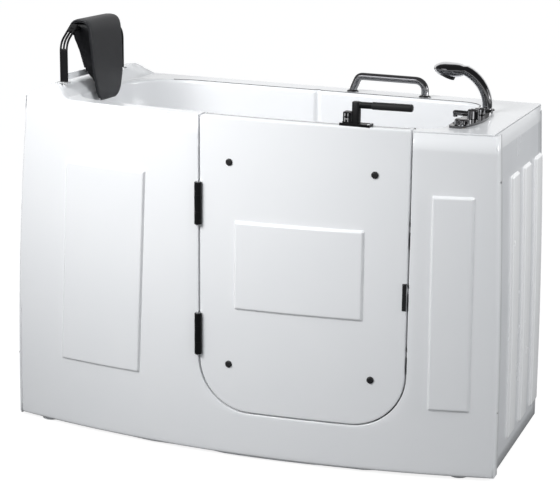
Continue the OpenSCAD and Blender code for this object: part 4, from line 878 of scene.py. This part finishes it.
strap = add_piece("bracket_strap", *box_mesh((-590, -202, SHELF_Z + 8), (-584, 167, SHELF_Z + 26)), "tub",
                  "moulded_shell", sharp=40)
round_sharp_edges(strap, 1.0, segments=2)
print("brackets:", len(brackets.data.polygons), "faces")

# %% [markdown]
# ## Edge lines
# Two fine grey lines mark edges in the photo. One runs where the flat rim breaks into the bowl: it is a
# painted shadow, a dark strip laid where the edge of the moulding only throws shade. The other runs along the
# door's top edge, where the two door skins are glued. Both are laid as thin beads. A groove would need far
# more faces, and soft light would hardly show it.

# %% Painted shadow line along the mouth of the basin, and a bead along the top of the door
def mouth_shadow_line(radius):
    row = np.column_stack([MOUTH[:, :2] - MOUTH[:, 2:] * 7.4, rim_top(MOUTH[:, 0], MOUTH[:, 1]) - 0.4])
    far = np.roll(row, -int(np.argmin(row[:, 1])), axis=0)
    far = far[(far[:, 1] > -60) & (far[:, 0] > -440)]
    return tube_along(far, radius)

def door_top_bead(radius):
    xs = np.linspace(-90, 490, 60)
    return tube_along([(x, float(front_y(x)) + 26.0, rim_z(x) + 0.1) for x in xs], radius)

# Painted shadow: a dark strip laid where the rim breaks into the bowl.
add_piece("rim_painted_shadow_line", *mouth_shadow_line(1.2), "tub", "seal_rubber", sharp=80)
add_piece("door_top_bead", *door_top_bead(0.6), "door", "seal_rubber", sharp=80)
print("edge beads laid")

# %% [markdown]
# ## Lever
# The lever is a post with an arm across its top and a rubber grip. The post and the arm are softly squared
# bars. The grip is a sleeve with a slim collar at its near end and a rounded outer end.

# %% Lever arm and grip
LEVER_X, LEVER_Y = 344.0, -294.465
LEVER_Z = float(rim_z(LEVER_X))
TOP_Z = LEVER_Z + 66
ARM_Z = TOP_Z - 9.2

def squared_ring(a, b, power=0.35, count=32):
    t = np.linspace(0, 2 * math.pi, count, endpoint=False)
    c, s = np.cos(t), np.sin(t)
    return np.column_stack([a * np.sign(c) * np.abs(c) ** power, b * np.sign(s) * np.abs(s) ** power])

def upright_bar(x, y, stations, power):
    return loft([[(x + u, y + v, z) for u, v in squared_ring(a, a, power)] for z, a in stations],
                cap_first=True, cap_last=True)

def cross_bar(y, z, stations, power):
    return loft([[(x, y + u, z + v) for u, v in squared_ring(a, a, power)] for x, a in stations],
                cap_first=True, cap_last=True)

post_stations = [(LEVER_Z + 0.8, 11.2), (TOP_Z - 2.0, 11.2), (TOP_Z - 0.6, 10.6), (TOP_Z, 9.2)]
post = upright_bar(LEVER_X, LEVER_Y, post_stations, 0.55)
shaft = upright_bar(LEVER_X, LEVER_Y, [(771.2, 8.0), (LEVER_Z + 2, 8.0)], 1.0)
arm = cross_bar(LEVER_Y, ARM_Z, [(LEVER_X - 6, 8.9), (LEVER_X + 152, 8.9)], 0.7)
add_piece("lever_bars", *merged(post, shaft, arm), "latch_lever", "black_metal", ["lever_arm"], sharp=40)
grip_stations = [(389.0, 9.3), (389.6, 10.0), (391.0, 10.3), (496.5, 10.3), (499.0, 9.9), (501.0, 8.6),
                 (502.0, 6.2), (502.2, 3.0)]
add_piece("lever_sleeve", *cross_bar(LEVER_Y, ARM_Z, grip_stations, 0.8), "latch_lever", "grip_rubber",
          ["lever_grip"], sharp=50)
print("lever: post, arm and grip")

# %% [markdown]
# The block beside the post stops the lever. Two light spring clips sit in its slots, with a bridge between
# them, and hold the lever at either end of its turn.

# %% Spring clips of the stop block
def on_rim(x, y, points):
    """Points in a frame that stands on the rim, square to it."""
    lean_by = math.radians(1.0)
    c, s = math.cos(lean_by), math.sin(lean_by)
    z0 = float(rim_z(x))
    return [(x + p[0] * c + p[2] * s, y + p[1], z0 - p[0] * s + p[2] * c) for p in points]

def rim_box(x, y, low, high):
    (x0, y0, z0), (x1, y1, z1) = low, high
    ring = [(x0, y0), (x1, y0), (x1, y1), (x0, y1)]
    rows = [on_rim(x, y, [(a, b, z) for a, b in ring]) for z in (z0, z1)]
    return loft(rows, cap_first=True, cap_last=True)

clips = [rim_box(LEVER_X + x, LEVER_Y, (-1.4, -14.4, z0), (1.4, -11.2, z1))
         for x in (-29, -20) for z0, z1 in ((10.5, 21.5), (25.5, 33.5))]
clips.append(rim_box(LEVER_X - 24.5, LEVER_Y, (-3.6, -14.4, 17.0), (3.6, -13.4, 19.5)))
add_piece("stop_clips", *merged(*clips), "door", "brushed_plate", sharp=40)
print("stop block clips:", len(clips))

# %% [markdown]
# ## Taps
# The flow knob is turned and plated, with shallow finger flutes: one turned outline whose radius follows the
# flutes. The grab rail's collars are turned too, and its tube is bent along a smooth centre line.

# %% Turned pieces
def turned(x, y, outline, flutes=0, depth=0.0, around=96):
    """outline: (radius, height above the rim, share of the flutes' depth)."""
    rows = []
    for r, z, share in outline:
        ring = []
        for t in np.linspace(0, 2 * math.pi, around, endpoint=False):
            cutaway = depth * share * max(0.0, math.cos(flutes * t)) ** 2 if flutes else 0.0
            ring.append(((r - cutaway) * math.cos(t), (r - cutaway) * math.sin(t), z))
        rows.append(on_rim(x, y, ring))
    return loft(rows, cap_first=True, cap_last=True)

TAP_X, TAP_Y = 609.0, -38.0

def knob_outline(r, z0, h):
    top = z0 + h
    return [(r - 1.6, z0, 0), (r - 0.4, z0 + 0.5, 0), (r, z0 + 1.6, 0), (r, z0 + 3.4, 0), (r, z0 + 4.6, 1),
            (r, top - 5, 1), (r - 0.3, top - 3.4, 0.4), (r - 1.2, top - 1.6, 0), (r - 2.8, top - 0.5, 0),
            (r - 4.6, top, 0), (r * 0.45, top + 0.6, 0)]

flow = turned(TAP_X, TAP_Y - 148, knob_outline(20, 7.3, 18), 18, 0.9)
add_piece("flow_knob_body", *flow, "flow_control", "chrome_plate", ["flow_knob"], sharp=40)

RAIL_X, RAIL_Y, RAIL_SPAN = 143.0, 292.0, 229.0
COLLAR = [(11, 0.1, 0), (17, 0.1, 0), (18.4, 0.6, 0), (18.8, 1.6, 0), (18.4, 2.8, 0), (16, 4.6, 0),
          (13, 6.4, 0), (11.4, 7.0, 0)]

def grab_line():
    top, span = 49.0, RAIL_SPAN
    pts = [(0, 0, 1), (3, 0, 12), (12.5, 0, 36)]
    pts += [(15.5, 0, 42), (20, 0, 46.5), (27, 0, 49), (40, 0, top)]
    pts += [(x, 0, top) for x in np.linspace(55, span - 34, 12)]
    pts += [(span - 30 + 30 * math.sin(math.radians(a)), 0, top - 30 + 30 * math.cos(math.radians(a)))
            for a in np.linspace(0, 90, 9)]
    pts += [(span, 0, 10), (span, 0, 1)]
    return resampled(on_rim(RAIL_X, RAIL_Y, pts), 72)

collars = [turned(RAIL_X + d, RAIL_Y, COLLAR, around=48) for d in (0.0, RAIL_SPAN)]
rail_mesh = merged(tube_along(grab_line(), 11.3, 32), *collars)
add_piece("grab_rail", *rail_mesh, "tub", "chrome_plate", ["grab_bar"], sharp=50)
print("turned knob and grab rail")

# %% [markdown]
# ## Materials
# The tub is gloss white acrylic with dark fittings, so most finishes differ only in tone, gloss and grain.
# Each could be built by hand, but then a change of grain would be made once for every finish. Instead,
# effects that several finishes share are node groups, and one function builds a finish from a few values.

# %% Helper for node groups
def new_group(name, inputs, outputs):
    tree = bpy.data.node_groups.new(name, "ShaderNodeTree")
    for label, kind, value in inputs:
        socket = tree.interface.new_socket(name=label, in_out="INPUT", socket_type=kind)
        socket.default_value = value
    for label, kind in outputs:
        tree.interface.new_socket(name=label, in_out="OUTPUT", socket_type=kind)
    return tree, tree.nodes.new("NodeGroupInput"), tree.nodes.new("NodeGroupOutput")

# %% [markdown]
# Every surface has a fine grain and large soft patches where it is slightly more or less polished. Both are
# noise in the piece's own coordinates, so the pattern stays on the piece when a joint moves it. A picture
# texture would need unwrapping, and would show its repeats on the wide white panels.

# %% Grain and patches
def fine_grain_group():
    tree, g_in, g_out = new_group("fine_grain",
                                  [("Scale", "NodeSocketFloat", 400.0), ("Detail", "NodeSocketFloat", 3.0)],
                                  [("Height", "NodeSocketFloat"), ("Patches", "NodeSocketFloat")])
    place = tree.nodes.new("ShaderNodeTexCoord")
    small = tree.nodes.new("ShaderNodeTexNoise")
    large = tree.nodes.new("ShaderNodeTexNoise")
    large.inputs["Scale"].default_value = 6.0
    large.inputs["Detail"].default_value = 4.0
    tree.links.new(place.outputs["Object"], small.inputs["Vector"])
    tree.links.new(place.outputs["Object"], large.inputs["Vector"])
    tree.links.new(g_in.outputs["Scale"], small.inputs["Scale"])
    tree.links.new(g_in.outputs["Detail"], small.inputs["Detail"])
    tree.links.new(small.outputs["Fac"], g_out.inputs["Height"])
    tree.links.new(large.outputs["Fac"], g_out.inputs["Patches"])
    return tree

GRAIN = fine_grain_group()
print("group:", GRAIN.name)

# %% [markdown]
# Polished metal shows its surroundings: in the photo the fittings are dark above, light on edges and banded
# on upright faces. A real room could be modelled for them to reflect, but it would also change the light on
# the
# white tub. So the reflection is painted: the colour comes from the direction the surface faces, as if that
# room stood there.

# %% Painted reflection bands by the direction of a surface
# Painted reflection: the direction and the tones of the stripes on upright faces.
REFLECTION_BAND_AXIS = (0.94, 0.34, 0.0)
REFLECTION_BAND_STEPS = [(0.0, 0.3), (0.2, 0.1), (0.42, 0.16), (0.5, 0.8), (0.58, 0.02), (0.8, 0.03), (0.9, 0.28),
              (1.0, 0.4)]

def painted_reflection_bands(tree, geometry):
    """Painted reflection: dark and light stripes that run down upright faces."""
    side = tree.nodes.new("ShaderNodeVectorMath")
    side.operation = "DOT_PRODUCT"
    side.inputs[1].default_value = REFLECTION_BAND_AXIS
    tree.links.new(geometry.outputs["Normal"], side.inputs[0])
    shift = tree.nodes.new("ShaderNodeMapRange")
    shift.inputs["From Min"].default_value = -1.0
    tree.links.new(side.outputs["Value"], shift.inputs["Value"])
    stripes = tree.nodes.new("ShaderNodeValToRGB")
    tree.links.new(shift.outputs["Result"], stripes.inputs["Fac"])
    points = stripes.color_ramp.elements
    while len(points) < len(REFLECTION_BAND_STEPS):
        points.new(0.5)
    for point, (at, tone) in zip(points, REFLECTION_BAND_STEPS):
        point.position, point.color = at, (tone, tone, tone * 1.03, 1)
    return stripes.outputs["Color"]

def color_mix(tree, factor, a, b):
    mix = tree.nodes.new("ShaderNodeMix")
    mix.data_type = "RGBA"
    tree.links.new(factor, mix.inputs["Factor"])
    tree.links.new(a, mix.inputs["A"])
    tree.links.new(b, mix.inputs["B"])
    return mix.outputs["Result"]

def height_band(tree, height, low, high, a, b):
    """Goes from a to b where the normal's height passes from low to high."""
    ramp = tree.nodes.new("ShaderNodeMapRange")
    ramp.interpolation_type = "SMOOTHSTEP"
    ramp.inputs["From Min"].default_value = low
    ramp.inputs["From Max"].default_value = high
    tree.links.new(height, ramp.inputs["Value"])
    return color_mix(tree, ramp.outputs["Result"], a, b)

# %% [markdown]
# The group paints a reflection into the colour. It chooses a tone by how far the surface looks up: the middle
# tone or the painted bands on faces that are upright or look down, the dark tone on faces that lean upwards,
# and the light tone on faces that look straight up. It hands out one colour, and the shader stays in the
# material.

# %% Group for the painted reflection on polished metal
def painted_reflection_group():
    tree, g_in, g_out = new_group("painted_reflection_tone",
                                  [("Dark", "NodeSocketColor", (0.03, 0.03, 0.033, 1)),
                                   ("Middle", "NodeSocketColor", (0.3, 0.305, 0.315, 1)),
                                   ("Light", "NodeSocketColor", (0.75, 0.755, 0.765, 1)),
                                   ("Bands", "NodeSocketFloat", 0.0)],
                                  [("Color", "NodeSocketColor")])
    geometry = tree.nodes.new("ShaderNodeNewGeometry")
    parts = tree.nodes.new("ShaderNodeSeparateXYZ")
    tree.links.new(geometry.outputs["Normal"], parts.inputs["Vector"])
    # Painted reflection: upright, upward and straight-up faces each get their own tone.
    upright = color_mix(tree, g_in.outputs["Bands"], g_in.outputs["Middle"], painted_reflection_bands(tree, geometry))
    lower = height_band(tree, parts.outputs["Z"], 0.02, 0.25, upright, g_in.outputs["Dark"])
    whole = height_band(tree, parts.outputs["Z"], 0.86, 0.985, lower, g_in.outputs["Light"])
    tree.links.new(whole, g_out.inputs["Color"])
    return tree

PAINTED_REFLECTION = painted_reflection_group()
print("group:", PAINTED_REFLECTION.name)

# %% [markdown]
# A finish is a Principled shader with two close tones, two close roughnesses, and the scale and strength of
# its grain, in this order. The patches mix the tones and the roughnesses, so no surface is one flat value.
# The steps of the grain are far below a millimetre.

# %% One finish
GRAIN_HEIGHT = 0.0004

def material(name, color, color_2, roughness, rough_2, scale, bump, metallic=0.0, coat=0.0, specular=0.5):
    mat = bpy.data.materials.new(name)
    mat.use_nodes = True
    nodes, links = mat.node_tree.nodes, mat.node_tree.links
    shader = nodes["Principled BSDF"]
    shader.inputs["Metallic"].default_value = metallic
    shader.inputs["Coat Weight"].default_value = coat
    shader.inputs["Specular IOR Level"].default_value = specular
    grain = nodes.new("ShaderNodeGroup")
    grain.node_tree = GRAIN
    grain.inputs["Scale"].default_value = scale
    tones = nodes.new("ShaderNodeMix")
    tones.data_type = "RGBA"
    tones.inputs["A"].default_value = (*color, 1)
    tones.inputs["B"].default_value = (*color_2, 1)
    links.new(grain.outputs["Patches"], tones.inputs["Factor"])
    links.new(tones.outputs["Result"], shader.inputs["Base Color"])
    rough = nodes.new("ShaderNodeMapRange")
    rough.inputs["From Min"].default_value = 0.3
    rough.inputs["From Max"].default_value = 0.7
    rough.inputs["To Min"].default_value = roughness
    rough.inputs["To Max"].default_value = rough_2
    links.new(grain.outputs["Patches"], rough.inputs["Value"])
    links.new(rough.outputs["Result"], shader.inputs["Roughness"])
    bumps = nodes.new("ShaderNodeBump")
    bumps.inputs["Strength"].default_value = bump
    bumps.inputs["Distance"].default_value = GRAIN_HEIGHT
    links.new(grain.outputs["Height"], bumps.inputs["Height"])
    links.new(bumps.outputs["Normal"], shader.inputs["Normal"])
    return mat

# %% [markdown]
# Chrome adds two painted things: its painted reflection from the group, and a painted highlight, a lighter
# edge where the surface turns away. Layer Weight gives that edge, and stays in the material.

# %% Chrome finish with painted reflection and painted edge highlight
def chrome_material(name, painted_glint_low, painted_glint_high, painted_glint_tone, dark, middle, light, bands):
    mat = material(name, (0.3, 0.3, 0.31), (0.34, 0.34, 0.35), 0.07, 0.13, 300, 0.02, metallic=1.0)
    tree = mat.node_tree
    tone = tree.nodes.new("ShaderNodeGroup")
    tone.node_tree = PAINTED_REFLECTION
    tone.inputs["Dark"].default_value = (dark, dark, dark * 1.06, 1)
    tone.inputs["Middle"].default_value = (middle, middle, middle * 1.03, 1)
    tone.inputs["Light"].default_value = (light, light, light * 1.02, 1)
    tone.inputs["Bands"].default_value = bands
    facing = tree.nodes.new("ShaderNodeLayerWeight")
    facing.inputs["Blend"].default_value = 0.5
    painted_glint_mask = tree.nodes.new("ShaderNodeMapRange")
    painted_glint_mask.inputs["From Min"].default_value = painted_glint_low
    painted_glint_mask.inputs["From Max"].default_value = painted_glint_high
    tree.links.new(facing.outputs["Facing"], painted_glint_mask.inputs["Value"])
    # Painted highlight: the edge colour is mixed in where the surface turns away from the camera.
    edge = tree.nodes.new("ShaderNodeMix")
    edge.data_type = "RGBA"
    edge.inputs["B"].default_value = (painted_glint_tone, painted_glint_tone, painted_glint_tone * 1.02, 1)
    tree.links.new(painted_glint_mask.outputs["Result"], edge.inputs["Factor"])
    tree.links.new(tone.outputs["Color"], edge.inputs["A"])
    tree.links.new(edge.outputs["Result"], tree.nodes["Principled BSDF"].inputs["Base Color"])
    return mat

# %% [markdown]
# The white acrylic is a gloss skin with a thin clear coat. The blacks are kept very dark with little
# specular, because the white studio around them would otherwise turn them grey.

# %% Finishes of the parts by material slot
FINISH = {
    "moulded_shell": material("white_acrylic", (0.80, 0.81, 0.825), (0.83, 0.835, 0.845), 0.2, 0.26,
                              240, 0.05, coat=0.25),
    "black_metal": material("black_powder_coat", (0.004, 0.004, 0.0045), (0.007, 0.007, 0.0075), 0.32, 0.42,
                            1800, 0.25, specular=0.12),
    "black_plastic": material("black_plastic", (0.008, 0.008, 0.009), (0.012, 0.012, 0.013), 0.38, 0.5,
                              1500, 0.3, specular=0.3),
    "grip_rubber": material("grip_rubber", (0.009, 0.009, 0.01), (0.014, 0.014, 0.015), 0.5, 0.6, 1200, 0.4,
                            specular=0.2),
    "seal_rubber": material("seal_rubber", (0.015, 0.015, 0.016), (0.024, 0.024, 0.025), 0.6, 0.7, 1400, 0.4),
    "pad_leather": material("pad_leather", (0.009, 0.0095, 0.0115), (0.014, 0.0145, 0.017), 0.42, 0.52,
                            900, 0.5, specular=0.3),
    # Painted reflection and painted edge highlight on the chrome fittings.
    "chrome_plate": chrome_material("chrome_painted_reflection", painted_glint_low=0.7, painted_glint_high=0.85, painted_glint_tone=0.45,
                                    dark=0.035, middle=0.28, light=0.08, bands=0.0),
    "screw_steel": material("plain_steel", (0.45, 0.455, 0.465), (0.52, 0.525, 0.535), 0.3, 0.4, 900, 0.1,
                            metallic=1.0),
    "brushed_plate": material("brushed_steel", (0.5, 0.505, 0.515), (0.58, 0.585, 0.59), 0.3, 0.42, 700, 0.2,
                              metallic=1.0),
    "frame_steel": material("frame_paint", (0.24, 0.25, 0.26), (0.3, 0.305, 0.315), 0.4, 0.55, 900, 0.2),
    "plywood": material("plywood", (0.42, 0.27, 0.14), (0.5, 0.34, 0.19), 0.6, 0.75, 300, 0.4),
    "pipe_plastic": material("pipe_plastic", (0.62, 0.63, 0.65), (0.66, 0.67, 0.68), 0.4, 0.5, 700, 0.1),
    "valve_brass": material("valve_brass", (0.6, 0.42, 0.16), (0.68, 0.5, 0.22), 0.3, 0.42, 700, 0.15,
                            metallic=1.0),
}
print(len(FINISH), "finishes")

# %% [markdown]
# A few pieces differ from their slot in the photo, and each difference is painted light or shade. The tap set
# has painted reflection bands, the hand shower a broad painted highlight on its edge, the cushion's drawn-in
# sides a painted shade that makes them darker than its face, and the foot end's panel a painted shade that
# makes it a little greyer than its ribs, which get painted light.

# %% Finishes of single pieces: painted reflection, highlight, shade and light
# Painted reflection bands on the taps, a broad painted highlight on the hand shower's edge, painted
# reflection on the plate.
TAP_CHROME = chrome_material("tap_chrome", painted_glint_low=0.6, painted_glint_high=0.8, painted_glint_tone=0.3,
                             dark=0.02, middle=0.2, light=0.09, bands=1.0)
SHOWER_CHROME = chrome_material("shower_chrome", painted_glint_low=0.45, painted_glint_high=0.55, painted_glint_tone=0.6,
                                dark=0.012, middle=0.2, light=0.06, bands=0.0)
PLATE_CHROME = chrome_material("plate_chrome", painted_glint_low=0.96, painted_glint_high=0.99, painted_glint_tone=0.3,
                               dark=0.02, middle=0.1, light=0.03, bands=0.0)
# Painted shade: a darker copy of the cushion leather for the drawn-in sides.
CUSHION_SIDE_SHADE = material("cushion_side_painted_shade", (0.004, 0.0042, 0.005), (0.007, 0.0073, 0.0085), 0.42, 0.52,
                        900, 0.5, specular=0.12)
# Painted shade on the foot end's sheet and painted light on its ribs: lit and shaded copies of the white
# acrylic.
END_SHEET_PAINTED_SHADE = material("end_sheet_painted_shade", (0.67, 0.68, 0.70), (0.70, 0.71, 0.725), 0.22, 0.28, 240, 0.05,
                       coat=0.2)
END_RIB_PAINTED_LIGHT = material("end_rib_painted_light", (0.88, 0.885, 0.89), (0.9, 0.9, 0.905), 0.22, 0.28, 240, 0.05, coat=0.2)
OWN_FINISH = {
    "tap_plate": PLATE_CHROME, "spout": TAP_CHROME, "flow_knob_body": TAP_CHROME, "diverter_knob": TAP_CHROME,
    "shower_cradle": TAP_CHROME, "hand_shower_body": SHOWER_CHROME, "handset_face": FINISH["black_plastic"],
    "headrest_rod": FINISH["black_metal"], "cushion_core": CUSHION_SIDE_SHADE,
    "levelling_feet": FINISH["pipe_plastic"], "foot_panel": END_SHEET_PAINTED_SHADE, "foot_ribs": END_RIB_PAINTED_LIGHT,
}
print(len(OWN_FINISH), "pieces have a finish of their own")

# %% [markdown]
# Every part of the frame names a material slot, and so does every piece made above. A piece with a finish of
# its own gets that, and all others get the finish of their slot.

# %% Give every part its finish
slots = {s["node"]: s["material_slot"] for s in frame["record"]["subparts"]}
for name, obj in frame["nodes"].items():
    obj.data.materials.clear()
    obj.data.materials.append(OWN_FINISH.get(name, FINISH[slots[name]]))
for obj in bpy.context.scene.objects:
    if obj.type in ("MESH", "CURVE") and "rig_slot" in obj and not obj.data.materials:
        obj.data.materials.append(OWN_FINISH.get(obj.name, FINISH[obj["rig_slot"]]))

# %% [markdown]
# ## Studio
# The camera stands where the photo's stood. Its angles, distance and focal length came from the tub's
# straight edges: the rim, the panel's lower edge and the corners. Lens shift takes up that the photo's middle
# isn't the lens axis, which a turn of the camera would do only with a change of perspective.

# %% Camera
AZIMUTH, ELEVATION, ROLL = math.radians(20.49), math.radians(13.43), math.radians(0.56)
PHOTO_W, PHOTO_H = 560, 500
AXIS_U, AXIS_V = 276.8, 241.7
FOCAL = 1652.0
AIM, DISTANCE = Vector((8.0, 0.0, 568.9)), 4949.5

back = Vector((math.sin(AZIMUTH) * math.cos(ELEVATION), -math.cos(AZIMUTH) * math.cos(ELEVATION),
               math.sin(ELEVATION)))
right = Vector((math.cos(AZIMUTH), math.sin(AZIMUTH), 0))
up = right.cross(-back)
turned_right = right * math.cos(ROLL) + up * math.sin(ROLL)
turned_up = up * math.cos(ROLL) - right * math.sin(ROLL)
lens = bpy.data.cameras.new("camera")
lens.sensor_width = 36.0
lens.lens = FOCAL / PHOTO_W * lens.sensor_width
lens.shift_x = (PHOTO_W / 2 - AXIS_U) / PHOTO_W
lens.shift_y = (AXIS_V - PHOTO_H / 2) / PHOTO_W
camera = add_object("camera", lens)
spot = (AIM + back * DISTANCE) * MM
camera.matrix_world = Matrix.Translation(spot) @ Matrix((turned_right, turned_up, back)).transposed().to_4x4()
bpy.context.scene.camera = camera
print("camera at", [round(v, 2) for v in spot])

# %% [markdown]
# The floor is a wide pale plane. The camera sees a glow on it that brings it up to white, while its own
# shade stays low enough not to throw light back up under the tub. The tub's shadow still shows on it.

# %% Floor
floor_mesh = bpy.data.meshes.new("floor")
floor_mesh.from_pydata([(-30, -30, 0), (30, -30, 0), (30, 40, 0), (-30, 40, 0)], [], [(0, 1, 2, 3)])
floor = add_object("floor", floor_mesh)
floor_mat = bpy.data.materials.new("floor")
floor_mat.use_nodes = True
floor_shader = floor_mat.node_tree.nodes["Principled BSDF"]
floor_shader.inputs["Base Color"].default_value = (0.3, 0.3, 0.3, 1)
floor_shader.inputs["Roughness"].default_value = 0.9
floor_shader.inputs["Specular IOR Level"].default_value = 0.0
path = floor_mat.node_tree.nodes.new("ShaderNodeLightPath")
glow = floor_mat.node_tree.nodes.new("ShaderNodeMath")
glow.operation = "MULTIPLY"
glow.inputs[1].default_value = 0.86
floor_shader.inputs["Emission Color"].default_value = (1, 1, 1, 1)
floor_mat.node_tree.links.new(path.outputs["Is Camera Ray"], glow.inputs[0])
floor_mat.node_tree.links.new(glow.outputs["Value"], floor_shader.inputs["Emission Strength"])
floor_mesh.materials.append(floor_mat)
print("floor material:", len(floor_mat.node_tree.nodes), "nodes")

# %% [markdown]
# The world is the studio's white walls. Seen by the camera, or in a reflection, they are plain white. The
# light that they give is softer and slightly cool, as on the shaded sides in the photo.

# %% World
scene = bpy.context.scene
scene.view_settings.view_transform = "Standard"
world = scene.world or bpy.data.worlds.new("studio")
scene.world = world
world.use_nodes = True
studio = world.node_tree
studio.nodes.clear()

def background(color, strength):
    node = studio.nodes.new("ShaderNodeBackground")
    node.inputs["Color"].default_value = (*color, 1)
    node.inputs["Strength"].default_value = strength
    return node.outputs["Background"]

def larger(a, b):
    node = studio.nodes.new("ShaderNodeMath")
    node.operation = "MAXIMUM"
    studio.links.new(a, node.inputs[0])
    studio.links.new(b, node.inputs[1])
    return node.outputs["Value"]

rays = studio.nodes.new("ShaderNodeLightPath").outputs
seen = larger(larger(rays["Is Camera Ray"], rays["Is Glossy Ray"]), rays["Is Transmission Ray"])
blend = studio.nodes.new("ShaderNodeMixShader")
studio.links.new(seen, blend.inputs["Fac"])
studio.links.new(background((0.93, 0.965, 1.0), 0.5), blend.inputs[1])
studio.links.new(background((1.0, 1.0, 1.0), 1.0), blend.inputs[2])
studio.links.new(blend.outputs["Shader"], studio.nodes.new("ShaderNodeOutputWorld").inputs["Surface"])
print("world:", len(studio.nodes), "nodes")

# %% [markdown]
# Two soft boxes light the tub. The key stands in front at the left, above the rim, and lights the head half
# of the bowed front most. The other one fills the foot end from the side. Their beams are narrow, so each
# wall keeps its own slope of light from top to bottom.

# %% Soft boxes
def soft_box(name, place, aim, size, power, spread):
    light = bpy.data.lights.new(name, "AREA")
    light.shape = "RECTANGLE"
    light.size, light.size_y = size
    light.energy = power
    light.spread = math.radians(spread)
    obj = add_object(name, light)
    obj.location = place
    obj.rotation_euler = (Vector(aim) - Vector(place)).to_track_quat("-Z", "Y").to_euler()

soft_box("key", place=(-1.1, -2.4, 2.35), aim=(-0.3, -0.35, 1.1), size=(1.8, 1.1), power=13.1, spread=58)
soft_box("side", place=(3.4, 0.3, 1.7), aim=(0.75, 0.1, 0.95), size=(1.4, 0.9), power=10.0, spread=75)
